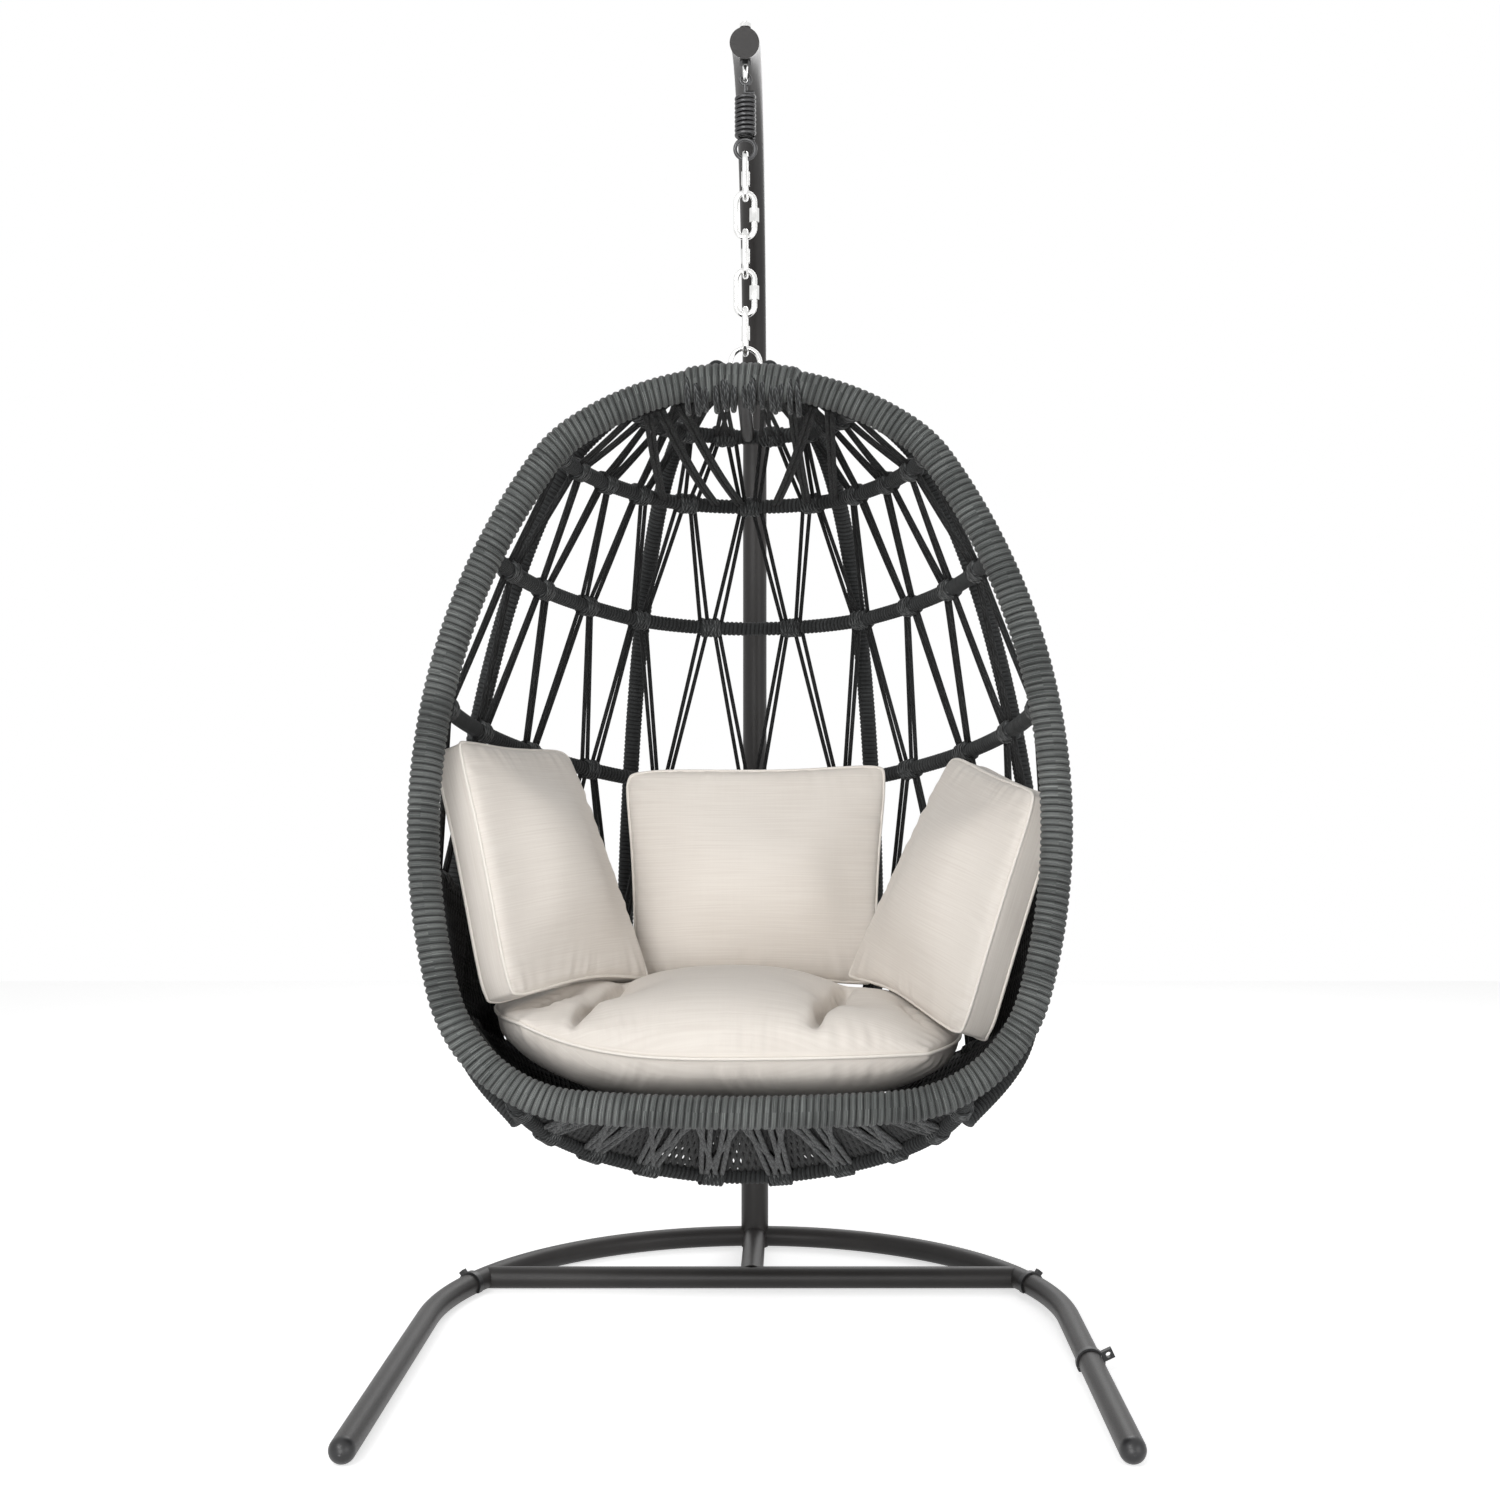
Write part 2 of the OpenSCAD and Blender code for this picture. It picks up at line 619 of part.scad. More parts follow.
module eyebolt_locknut() {
    color(zinc) translate([0, hook_y, bush_high + gap]) hex_nut(nut_af, nut_h, shank_d / 2 + run);
}

module eyebolt_lower_nut() {
    color(dark_plastic) translate([0, hook_y, eye_top])
        hex_nut(nut_af, nut_h, shank_d / 2 + run);
}

module face_ring(r, wire) {
    rotate([90, 0, 0]) rotate_extrude() translate([r, 0]) circle(d = wire);
}

module spring_top_hook() {
    arm_h = coil_top + gap + spring_wire / 2;
    color(spring_black) translate([0, hook_y, 0]) {
        translate([0, 0, spring_hook_h]) face_ring(hook_r, spring_wire);
        translate([0, 0, arm_h]) {
            sphere(d = spring_wire);
            cylinder(d = spring_wire, h = spring_hook_h - hook_r - arm_h);
            rotate([0, 90, 0]) cylinder(d = spring_wire, h = coil_r);
        }
    }
}

coil_steps = 8;
function coil_pt(a) = [coil_r * cos(a), hook_y + coil_r * sin(a),
    coil_low + spring_wire / 2 + spring_pitch * a / 360];
coil_pts = [for (i = [0 : spring_turns * coil_steps]) coil_pt(360 * i / coil_steps)];
module spring_coil() {
    least = min([for (i = [0 : coil_steps]) norm(coil_pts[i + coil_steps] - coil_pts[i])])
        - spring_wire;
    echo(str("least gap between coils: ", least, " mm"));
    color(spring_black) sweep(coil_pts, spring_wire / 2, 6);
}

module spring_ring() {
    color(spring_black) translate([0, hook_y, ring_h]) face_ring(ring_r, spring_wire);
}

// A quick link in the XZ plane about its middle, open on its right side
module link_body() {
    rotate([90, 0, 0]) {
        for (s = [0, 1]) mirror([0, s, 0]) translate([0, link_half, 0])
            bent_rod(link_r, link_wire / 2, 0, 180);
        translate([-link_r, -link_half, 0]) rotate([-90, 0, 0])
            cylinder(d = link_wire, h = 2 * link_half);
        translate([link_r, link_gap_mid + link_gap / 2, 0]) rotate([-90, 0, 0])
            cylinder(d = link_wire, h = link_half - link_gap_mid - link_gap / 2);
        translate([link_r, -link_half, 0]) rotate([-90, 0, 0])
            cylinder(d = link_wire, h = link_half + link_gap_mid - link_gap / 2);
    }
}

// Links 2 and 4 face the front; the others stand edge-on
module quick_link(i) {
    color(zinc) translate([0, hook_y, link_h(i)]) rotate([0, 0, i % 2 == 0 ? 90 : 0]) link_body();
}

module sleeve_nut(i) {
    color(zinc) translate([0, hook_y, link_h(i)]) rotate([0, 0, i % 2 == 0 ? 90 : 0])
        translate([link_r, 0, -sleeve_len / 2]) hex_nut(sleeve_af, sleeve_len, link_wire / 2 + run);
}

module quick_link_1() { quick_link(0); }
module quick_link_2() { quick_link(1); }
module quick_link_3() { quick_link(2); }
module quick_link_4() { quick_link(3); }
module quick_link_5() { quick_link(4); }
module sleeve_nut_1() { sleeve_nut(0); }
module sleeve_nut_2() { sleeve_nut(1); }
module sleeve_nut_3() { sleeve_nut(2); }
module sleeve_nut_4() { sleeve_nut(3); }
module sleeve_nut_5() { sleeve_nut(4); }

// ---------------------------------------------------------------- basket frame

module hanger_loop() {
    color(zinc) translate([0, hook_y, hanger_h]) {
        rotate([90, 0, 0]) bent_rod(hanger_r, hanger_wire / 2, 0, 180);
        for (s = [-1, 1]) translate([s * hanger_r, 0, -hanger_leg])
            cylinder(d = hanger_wire, h = hanger_leg);
    }
}

// Plate that joins the hanger loop's legs to the bar
module hanger_plate() {
    color(powder_coat) translate([0, hook_y, hanger_base - hanger_plate_t / 2])
        cube([hanger_w + 12, 34, hanger_plate_t], center = true);
}

module hanger_bar() {
    back = [0, bar_y[1], rim_top_h - bar_fall];
    front = [0, bar_y[0], rim_top_h];
    along = unit(back - front);
    color(powder_coat) difference() {
        rod(front + (wrap_r + gap) * along, back - (hoop_r + gap) * along, hanger_bar_d / 2);
        translate([0, hook_y, hanger_base - hanger_plate_t]) translate([-50, -50, 0]) cube(100);
    }
}

module rim_ring(r, wall) {
    translate([0, rim_top_y, rim_top_h]) rotate([-90 - rim_tilt, 0, 0]) {
        translate(rim_centre(0)) bent_pipe(rim_r(0), r, wall, -90 - crown_a, -90 + crown_a);
        translate(rim_centre(4))
            bent_pipe(rim_r(4), r, wall, rim_turn[4] - 90, 270 - rim_turn[4]);
        for (s = [0, 1]) mirror([s, 0, 0]) for (i = [1 : 3]) {
            cut = hairline(rim_r(i));
            translate(rim_centre(i))
                bent_pipe(rim_r(i), r, wall, rim_turn[i] - 90 + cut, rim_turn[i + 1] - 90 - cut);
        }
    }
}

module rim_tube() {
    color(powder_coat) rim_ring(rim_tube_od / 2, rim_tube_wall);
}

module rim_wrap() {
    color(rope_grey) rim_ring(wrap_r, wrap_r - rim_tube_od / 2 - gap);
}

module hoop_arcs(i, r, wall) {
    f = forms[i];
    side = f[0] + f[3];
    translate(hoop_end(i)) rotate([hoop_tilt(i), 0, 0]) {
        translate([0, hoop_depth(i) - f[0], 0]) bent_pipe(f[0], r, wall, 90 - f[2], 90 + f[2]);
        for (s = [0, 1]) mirror([s, 0, 0]) translate(side_c(i))
            bent_pipe(side, r, wall, 90 - f[1] + hoop_trim(i), 90 - f[2] - hairline(side));
    }
}

module hoop(i) {
    color(rope_grey) hoop_arcs(i, hoop_r, hoop_r - hoop_core_od / 2 - gap);
}

// Steel tubes inside the wound hoops
module hoop_cores() {
    color(powder_coat) for (i = [0 : hoops - 1]) hoop_arcs(i, hoop_core_od / 2, hoop_core_wall);
}

module hoop_1() { hoop(0); }
module hoop_2() { hoop(1); }
module hoop_3() { hoop(2); }
module hoop_4() { hoop(3); }
module hoop_5() { hoop(4); }
module hoop_6() { hoop(5); }
module hoop_7() { hoop(6); }

// Points of a rib, outside the hoops: from the crown or the first hoop to just short of the
// last hoop
function rib_row(k, s) = row_pt(k, s * row_len(k)) + rib_off(k) * outward(k, s);
function rib_route(s, top) = let (mid = [for (k = [1 : hoops - 1]) rib_row(k, s)],
    a = row_pt(hoops - 1, s * row_len(hoops - 1)),
    b = row_pt(hoops, s * row_len(hoops)),
    out = unit(outward(hoops - 1, s) + outward(hoops, s)))
    concat(top ? [rib_end(0, s, s * crown_half, mid[0])] : [], mid,
        [a + rib_reach * (b - a) + (rib_d / 2 + cord_d / 2 + 2) * out]);
// End of a rib, lying on the outer side of the rim
function rib_end(k, s, l, next) = let (p = row_pt(k, l))
    p + (wrap_r + rib_d / 2 + gap) * unit(unit(next - p) + 0.9 * outward(k, s));

module rib(s, top) {
    color(rope_grey) sweep(smooth(rib_route(s, top), 4), rib_d / 2, 8);
}

module rib_left_outer() { rib(-rib_outer, false); }
module rib_left_inner() { rib(-rib_inner, true); }
module rib_right_inner() { rib(rib_inner, true); }
module rib_right_outer() { rib(rib_outer, false); }

// ---------------------------------------------------------------- net

function knot_shares(k) = [for (n = [-5 : 5]) let (s = (n + row_shift(k)) * knot_step)
    if (abs(s) < 0.95) s];

// One cord from row k to row k + 1, clear of both knots
module cord(k, la, lb) {
    p = row_pt(k, la);
    q = row_pt(k + 1, lb);
    d = unit(q - p);
    ca = abs(d * row_tangent(k, la));
    cb = abs(d * row_tangent(k + 1, lb));
    r = cord_d / 2;
    rod(p + d * (row_r(k) + cord_play(k) + r * ca) / sqrt(1 - ca * ca),
        q - d * (row_r(k + 1) + cord_play(k + 1) + r * cb) / sqrt(1 - cb * cb), r);
}

// Distance between the cords of a pair, less where the knots crowd
function pair_step(k) = min(cord_step, knot_step * row_len(k) / 3);

// Each knot is tied by a pair of cords to the nearest knots of the next row
module net_band(k, span = 1, hub = 0) {
    for (a = knot_shares(k)) for (b = knot_shares(k + 1))
        if (abs(abs(a - b) - knot_step / 2) < 0.01 && max(abs(a), abs(b)) < span && abs(a) >= hub)
            for (j = [0.5, 1.5]) let (s = sign(b - a))
                cord(k, a * row_len(k) + s * j * pair_step(k),
                     b * row_len(k + 1) - s * (2 - j) * pair_step(k + 1));
}

module knots() {
    color(rope_grey) for (k = [1 : rows - 1]) for (s = knot_shares(k)) {
        p = row_pt(k, s * row_len(k));
        t = row_tangent(k, s * row_len(k)) * knot_len / 2;
        difference() {
            rod(p - t, p + t, knot_od / 2);
            rod(p - 1.1 * t, p + 1.1 * t, hoop_r + knot_play(k));
        }
    }
}

module net_roof() { color(rope_grey) net_band(0, roof_span, roof_hub); }
module net_upper() { color(rope_grey) { net_band(1); net_band(2); } }
module net_middle() { color(rope_grey) { net_band(3); net_band(4); } }
module net_lower() { color(rope_grey) { net_band(5); net_band(6); } }
module net_floor() { color(rope_grey) net_band(7, floor_span); }

// ---------------------------------------------------------------- cushions

// Closed skin over two grids of heights that share their border
module two_faced(n, top, bottom) {
    m = n + 1;
    function t(i, j) = i * m + j;
    function b(i, j) = m * m + i * m + j;
    rim = concat([for (j = [0 : n - 1]) [0, j]], [for (i = [0 : n - 1]) [i, n]],
        [for (j = [0 : n - 1]) [n, n - j]], [for (i = [0 : n - 1]) [n - i, 0]]);
    polyhedron(points = concat([for (i = [0 : n]) for (j = [0 : n]) top[i][j]],
            [for (i = [0 : n]) for (j = [0 : n]) bottom[i][j]]),
        faces = concat(
            [for (i = [0 : n - 1]) for (j = [0 : n - 1])
                each [[t(i, j), t(i, j + 1), t(i + 1, j + 1)], [t(i, j), t(i + 1, j + 1), t(i + 1, j)]]],
            [for (i = [0 : n - 1]) for (j = [0 : n - 1])
                each [[b(i, j), b(i + 1, j + 1), b(i, j + 1)], [b(i, j), b(i + 1, j), b(i + 1, j + 1)]]],
            [for (k = [0 : len(rim) - 1]) let (p = rim[k], q = rim[(k + 1) % len(rim)])
                each [[t(p[0], p[1]), b(q[0], q[1]), t(q[0], q[1])],
                      [t(p[0], p[1]), b(p[0], p[1]), b(q[0], q[1])]]]));
}

// Square of side 2 mapped to a rounded square, corners drawn in
function soft(u, v) = [u * sqrt(1 - 0.32 * v * v), v * sqrt(1 - 0.32 * u * u)];

function tuft(p) = sum([for (c = tufts) exp(-pow(norm(p - c) / tuft_spread, 2))]);
function sum(v, i = 0) = i == len(v) ? 0 : v[i] + sum(v, i + 1);

module seat_cushion() {
    n = seat_grid;
    function at(i, j) = let (p = soft(2 * i / n - 1, 2 * j / n - 1))
        [seat_side + p[0] * (1 - seat_taper * pow(max(0, p[1]), 2)) * seat_w / 2,
         seat_mid + p[1] * seat_d / 2];
    function crown(i, j) = let (u = 2 * i / n - 1, v = 2 * j / n - 1)
        pow(max(0, 1 - u * u), 0.85) * sqrt(max(0, 1 - pow(v, 4)))
            * (1 - seat_fall * pow(max(0, v), 1.5));
    function belly(i, j) = let (u = 2 * i / n - 1, v = 2 * j / n - 1)
        sqrt(max(0, (1 - pow(u, 4)) * (1 - pow(v, 4))));
    function welt(i) = seat_welt_h + seat_curl * pow(max(0, 1 - 2 * i / n), 3);
    color(linen) two_faced(n,
        [for (i = [0 : n]) [for (j = [0 : n]) let (p = at(i, j), w = crown(i, j))
            [p[0], p[1], welt(i) + 8 + w * (seat_crown - 8 - tuft_depth * tuft(p))]]],
        [for (i = [0 : n]) [for (j = [0 : n]) let (p = at(i, j), w = belly(i, j))
            [p[0], p[1], welt(i) - 8 - w * (seat_drop - 8)]]]);
}

// Boxed pillow standing in the XZ plane: front face towards -Y, waist drawn in
module pillow(w, h, front, back, pinch = 0, twist = 0) {
    n = pillow_grid;
    function at(i, j) = let (u = 2 * i / n - 1, v = 2 * j / n - 1,
            corner = 1 - pillow_corner * pow(u * v, 6))
        [u * corner * (1 - pillow_waist * (1 - v * v)) * (1 - pinch * (1 - v) / 2) * w / 2,
         v * corner * (1 - pillow_waist * (1 - u * u)) * h / 2];
    function warp(i, j) = twist * (2 * i / n - 1) * (1 - 2 * j / n);
    function swell(i, j) = let (u = 2 * i / n - 1, v = 2 * j / n - 1)
        pow(max(0, (1 - u * u) * (1 - v * v)), 0.6);
    color(linen) rotate([90, 0, 0]) two_faced(n,
        [for (i = [0 : n]) [for (j = [0 : n]) let (p = at(i, j))
            [p[0], p[1], gusset / 2 + front * swell(i, j) + warp(i, j)]]],
        [for (i = [0 : n]) [for (j = [0 : n]) let (p = at(i, j))
            [p[0], p[1], -gusset / 2 - back * swell(i, j) + warp(i, j)]]]);
}

module back_pillow() {
    translate(back_at) rotate([-back_lean, 0, 0])
        pillow(back_w, back_h, pillow_crown, back_fill, pinch = back_pinch);
}

module side_pillow(at, yaw, roll) {
    translate(at) rotate([0, 0, yaw]) rotate([-side_lean, -roll, 0])
        pillow(side_w, side_h, pillow_crown, 12, twist = side_twist);
}

module left_pillow() {
    side_pillow(left_at, left_yaw, 0);
}

module right_pillow() {
    mirror([1, 0, 0]) side_pillow(right_at, right_yaw, right_roll);
}

// ---------------------------------------------------------------- nodes

rear_arc(-1);  // rear_arc_left
rear_arc(1);  // rear_arc_right
base_spine();
crossbar();
left_leg();
right_leg_rear();
right_leg_front();
foot_caps();
clip_left();
clip_right_rear();
clip_right_front();
leg_spigots();
lower_mast();
upper_mast();
mast_bolt();
mast_end_cap();
hanger_bush();
eyebolt();
eyebolt_locknut();
eyebolt_lower_nut();
spring_top_hook();
spring_coil();
spring_ring();
quick_link_1();
quick_link_2();
quick_link_3();
quick_link_4();
quick_link_5();
sleeve_nut_1();
sleeve_nut_2();
sleeve_nut_3();
sleeve_nut_4();
sleeve_nut_5();
hanger_loop();
hanger_plate();
hanger_bar();
rim_tube();
rim_wrap();
hoop_1();
hoop_2();
hoop_3();
hoop_4();
hoop_5();
hoop_6();
hoop_7();
hoop_cores();
rib_left_outer();
rib_left_inner();
rib_right_inner();
rib_right_outer();
knots();
net_roof();
net_upper();
net_middle();
net_lower();
net_floor();
seat_cushion();
back_pillow();
left_pillow();
right_pillow();
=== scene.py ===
import json
import math

import bpy
import numpy as np
from mathutils import Euler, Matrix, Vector

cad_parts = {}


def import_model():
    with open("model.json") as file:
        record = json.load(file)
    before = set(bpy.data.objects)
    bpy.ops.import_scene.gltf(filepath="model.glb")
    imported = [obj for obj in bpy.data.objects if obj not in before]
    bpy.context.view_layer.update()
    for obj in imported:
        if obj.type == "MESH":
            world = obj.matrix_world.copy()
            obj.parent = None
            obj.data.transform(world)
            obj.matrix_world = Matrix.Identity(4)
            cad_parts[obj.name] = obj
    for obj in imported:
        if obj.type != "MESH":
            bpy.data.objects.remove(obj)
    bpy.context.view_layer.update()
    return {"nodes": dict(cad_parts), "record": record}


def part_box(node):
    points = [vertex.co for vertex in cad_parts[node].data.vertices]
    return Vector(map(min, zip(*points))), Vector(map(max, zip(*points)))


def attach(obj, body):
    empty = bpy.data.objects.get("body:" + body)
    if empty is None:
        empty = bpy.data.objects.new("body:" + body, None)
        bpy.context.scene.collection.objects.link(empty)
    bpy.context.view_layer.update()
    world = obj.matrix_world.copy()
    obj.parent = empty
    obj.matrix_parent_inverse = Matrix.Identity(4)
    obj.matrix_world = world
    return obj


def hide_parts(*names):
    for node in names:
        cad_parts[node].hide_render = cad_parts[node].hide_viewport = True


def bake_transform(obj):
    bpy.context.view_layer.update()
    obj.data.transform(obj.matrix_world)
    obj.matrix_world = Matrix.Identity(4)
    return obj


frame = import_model()
MM = 0.001

# ---------------------------------------------------------------- sizes, in millimetres

RIM_TUBE_R = 12.5
WRAP_R = 21.5                 # over the rope wound on the rim
ROPE_PITCH = 9.0              # one turn of the rim's rope to the next
SECOND_LAYER = 72             # half length of the second layer of rope at the crown
SECOND_RISE = 4
HOOP_R = 11.5
HOOP_PITCH = 7.2
RIM_TILT = math.radians(10)
RIM_RADII = [388, 170, 850, 197]
RIM_ANGLES = [35, 21, 50, 70]
HOOP_FALL = [31, 96, 239, 437, 651, 813, 940]
HOOP_BACK = [(322, 23), (434, 115), (526, 302), (556, 560), (510, 820), (383, 1033), (180, 1117)]
HOOP_FLARE = [0, 0, 0, 2, 8, 10, 8]
HOOP_BEND = 0.7
CROWN_HALF = 130
FOOT_HALF = 270
KNOT_STEP = 0.185
KNOT_R = 15.5
CORD_R = 3.25
CORD_STEP = 10
ROOF_HUB = 0.1                # the hanger bar takes the middle of the crown
RIB_SHARES = {"rib_left_outer": -0.694, "rib_left_inner": -0.235,
              "rib_right_inner": 0.235, "rib_right_outer": 0.694}
RIB_R = 13
RIB_PITCH = 6.6
RIB_PLAY = 0.3
RIB_REACH = 0.84              # share of the way from the last but one hoop to the last
RIB_TO_KNOT = 0.0425          # least share of a row between a rib and a knot beside it
LASHINGS, LASHING_STEP, LASHING_R = 17, 9.1, 4.0
LASHING_HIGH, LASHING_DEEP, LASHING_SWAY = 28, 25.5, 4.5
RIM_STEP, ROPE_STEP = 1.45, 1.3   # ring to ring on the rim, and on the hoops and ribs
KNOT_TURNS = 5
CORD_SLACK = 1.2
FULLER = 1.12                 # cords that look thicker than the modelled core
# cords slung under the roof: where they leave the rim, where they reach the second hoop
CROWN_TIES = [(-112, -52), (-84, -12), (96, 40), (66, 96), (118, 150), (-128, -150)]
# the close layer under the seat: rows it starts from and the shares of them it covers
WEAVE = [(7, 0.0, 0.96), (6, 0.42, 0.96), (5, 0.72, 0.96)]
WEAVE_STEP, WEAVE_SLANT, WEAVE_LIFT = 11.5, 0.11, 8
TIE_R, TIE_GAP, TIE_SAG = CORD_R * 1.1, 3.5, 10
COIL_WIRE, COIL_TURNS = 5.8, 9

BASKET = "basket"
ROWS = len(HOOP_FALL) + 1


# ---------------------------------------------------------------- the basket's curves

def crown_of_rim():
    """Top of the rim's centreline, read from the frame, in millimetres."""
    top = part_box("rim_tube")[1]
    return np.array([0.0, top.y / MM - RIM_TUBE_R, top.z / MM - RIM_TUBE_R])


CROWN = crown_of_rim()
RIM_Y, RIM_H = CROWN[1], CROWN[2]

SEAT = {"w": 650, "d": 480, "mid": RIM_Y + 118, "welt": RIM_H - 898, "crown": 82, "drop": 62,
        "tuft": 24, "spread": 45, "taper": 0.3, "fall": 0.85, "curl": 40, "side": -22,
        "round": 0.32, "strip": 6}
# extra rise of the seat: at its sides, at its rear corners and at its rear right
SIDE_LOBE, REAR_LOBE, RIGHT_LOBE = 10, 26, 30
TUFTS = [(SEAT["side"] + x * SEAT["w"], SEAT["mid"] + y * SEAT["d"])
         for x in (-0.25, 0.25) for y in (-0.2, 0.16)]
# what a tuft holds down and by how much, and what a crease holds
TUFT_HELD, TUFT_SUNK, CREASE_HELD = 9, 12, 3
# pulled creases of the seat: ends in plan, depth, width
CREASES = [((-219, RIM_Y - 88), (-168, RIM_Y + 130), 32, 9),
           ((-272, RIM_Y - 24), (-240, RIM_Y + 60), 18, 12),
           ((97, RIM_Y - 88), (146, RIM_Y + 130), 34, 9),
           ((246, RIM_Y - 15), (222, RIM_Y + 70), 14, 14)]
# sharp folds on the creases: share of their depth, reach; fans beside them: height, reach
FOLD_SHARE, FOLD_REACH, FAN_HEIGHT, FAN_REACH = 0.75, 5, 2.0, 20
GUSSET = 42                   # the pillows' boxing strip
PIPING_R = 2.4
PUCKER = (1.7, 24, 19)        # gathers beside a seam: depth, reach, pitch
PILLOW_WAIST, PILLOW_CORNER = 0.03, 0.06
PILLOW_SWELL = 0.66           # power of the pillows' rise: the lower, the fuller
# width, height, swell to the front and to the back, narrowing to the foot, twist
BACK_SIZE = (400, 320, 65, 90, 0.1, 0)
BACK_AT, BACK_LEAN = (12, RIM_Y + 300, RIM_H - 687), 8
SIDE_SIZE = (320, 345, 65, 12, 0, 15)
SIDE_LEAN = 18
# vertices across and down a panel
SEAT_GRID, BACK_GRID, SIDE_GRID = (132, 100), (68, 50), (54, 58)
# corners drawn out: signs of u and v, reach in x and y
BACK_EARS = ((1, 1, 4, 9), (-1, 1, -2, -3), (1, -1, 4, -13))
LEFT_EARS = ((1, -1, 4, -24), (-1, 1, -9, 8), (-1, -1, 3, -4))
RIGHT_EARS = ((1, -1, 4, -26), (-1, 1, -3, 4))
# cloth: frames simulated, rounds that even its movement out
CLOTH_FRAMES, SPREAD_ROUNDS = 22, 36
LEFT_AT, LEFT_YAW = (-290, RIM_Y + 86, RIM_H - 664), 65
RIGHT_AT, RIGHT_YAW, RIGHT_ROLL = (-302, RIM_Y + 80, RIM_H - 696), 69, 11


def rim_point(x, v):
    """x across the rim and v down its plane from the crown."""
    return CROWN + np.array([x, -v * math.sin(RIM_TILT), -v * math.cos(RIM_TILT)])


class Rim:
    """Half outline of five tangent arcs, from the crown down the right side."""

    def __init__(self):
        self.turn = [0.0]
        for a in RIM_ANGLES:
            self.turn.append(self.turn[-1] + math.radians(a))
        self.turn.append(math.pi)
        self.r = [float(r) for r in RIM_RADII]
        self.c = [np.array([0.0, self.r[0]])]
        for i in range(1, 5):
            if i == 4:
                self.r.append(self.r[3] + self.c[3][0] / math.sin(self.turn[4]))
            a = self.turn[i]
            step = (self.r[i - 1] - self.r[i]) * np.array([math.sin(a), -math.cos(a)])
            self.c.append(self.c[i - 1] + step)
        self.joins = [self.c[i][1] - self.r[i] * math.cos(self.turn[i + 1]) for i in range(5)]

    def half_width(self, v):
        i = next((k for k in range(4) if v < self.joins[k]), 4)
        return self.c[i][0] + math.sqrt(max(0.0, self.r[i] ** 2 - (v - self.c[i][1]) ** 2))

    def outline(self, step):
        """Points (x, v) down the right side and back up the left, about step apart."""
        right = []
        for i in range(5):
            n = max(2, int(self.r[i] * (self.turn[i + 1] - self.turn[i]) / step))
            for a in np.linspace(self.turn[i], self.turn[i + 1], n, endpoint=False):
                right.append(self.c[i] + self.r[i] * np.array([math.sin(a), -math.cos(a)]))
        foot = self.c[4] + np.array([0.0, self.r[4]])
        left = [np.array([-x, v]) for x, v in reversed(right[1:])]
        return right + [foot] + left


RIM = Rim()


class Hoop:
    """A row of the shell: a back arc and two side arcs in the hoop's own plane."""

    def __init__(self, i):
        fall, (back, drop) = HOOP_FALL[i], HOOP_BACK[i]
        self.w = RIM.half_width(fall)
        self.end = rim_point(0, fall)
        rear = CROWN + np.array([0.0, back, -drop])
        self.d = np.linalg.norm(rear - self.end)
        self.dir = (rear - self.end) / self.d
        self.rb = HOOP_BEND * self.w
        a = math.radians(90 + HOOP_FLARE[i])
        across = self.w - self.rb * math.sin(a)
        self.b = 2 * math.atan2(self.d - self.rb * (1 - math.cos(a)), across) - a
        self.q = across / (math.sin(a) - math.sin(self.b))
        self.length = self.rb * self.b + (self.rb + self.q) * (a - self.b)

    def turn(self, l):
        l, back = abs(l), self.rb * self.b
        return l / self.rb if l <= back else self.b + (l - back) / (self.rb + self.q)

    def at(self, l):
        t = self.turn(l)
        if t <= self.b:
            c, r = np.array([0.0, self.d - self.rb]), self.rb
        else:
            c = np.array([-self.q * math.sin(self.b), self.d - self.rb - self.q * math.cos(self.b)])
            r = self.rb + self.q
        x, y = c + r * np.array([math.sin(t), math.cos(t)])
        return self.end + np.array([math.copysign(x, l), 0, 0]) + y * self.dir

    def tangent(self, l):
        t = self.turn(l)
        return np.array([math.cos(t), 0, 0]) - math.copysign(math.sin(t), l) * self.dir


HOOPS = [Hoop(i) for i in range(len(HOOP_FALL))]


def unit(v):
    return v / np.linalg.norm(v)


def row_length(k):
    return CROWN_HALF if k == 0 else FOOT_HALF if k == ROWS else HOOPS[k - 1].length


def row_point(k, l):
    """Row 0 is the rim's crown, rows 1 to 7 the hoops, row 8 the rim's foot."""
    if k == 0:
        return rim_point(l, RIM.c[0][1] - math.sqrt(RIM.r[0] ** 2 - l * l))
    if k == ROWS:
        return rim_point(l, RIM.c[4][1] + math.sqrt(RIM.r[4] ** 2 - l * l))
    return HOOPS[k - 1].at(l)


def row_tangent(k, l):
    return np.array([1.0, 0, 0]) if k in (0, ROWS) else HOOPS[k - 1].tangent(l)


def knot_shares(k):
    shift = 0 if k % 2 == 0 else 0.5
    return [s for s in ((n + shift) * KNOT_STEP for n in range(-5, 6)) if abs(s) < 0.95]


def outward(k, s):
    low, high = min(k + 1, ROWS), max(k - 1, 0)
    down = row_point(low, s * row_length(low)) - row_point(high, s * row_length(high))
    return unit(np.cross(row_tangent(k, s * row_length(k)), down))


# ---------------------------------------------------------------- mesh helpers

def new_object(name, verts, faces, material, smooth=True):
    mesh = bpy.data.meshes.new(name)
    mesh.from_pydata([tuple(v) for v in verts], [], faces)
    mesh.polygons.foreach_set("use_smooth", [smooth] * len(mesh.polygons))
    obj = bpy.data.objects.new(name, mesh)
    bpy.context.scene.collection.objects.link(obj)
    mesh.materials.append(material)
    return obj


def put(obj, body, slot, *nodes):
    """Ties a piece to its CAD body and hides the nodes that it stands for; slot, its finish, is not
    used.
    """
    if nodes:
        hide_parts(*nodes)
    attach(obj, body)


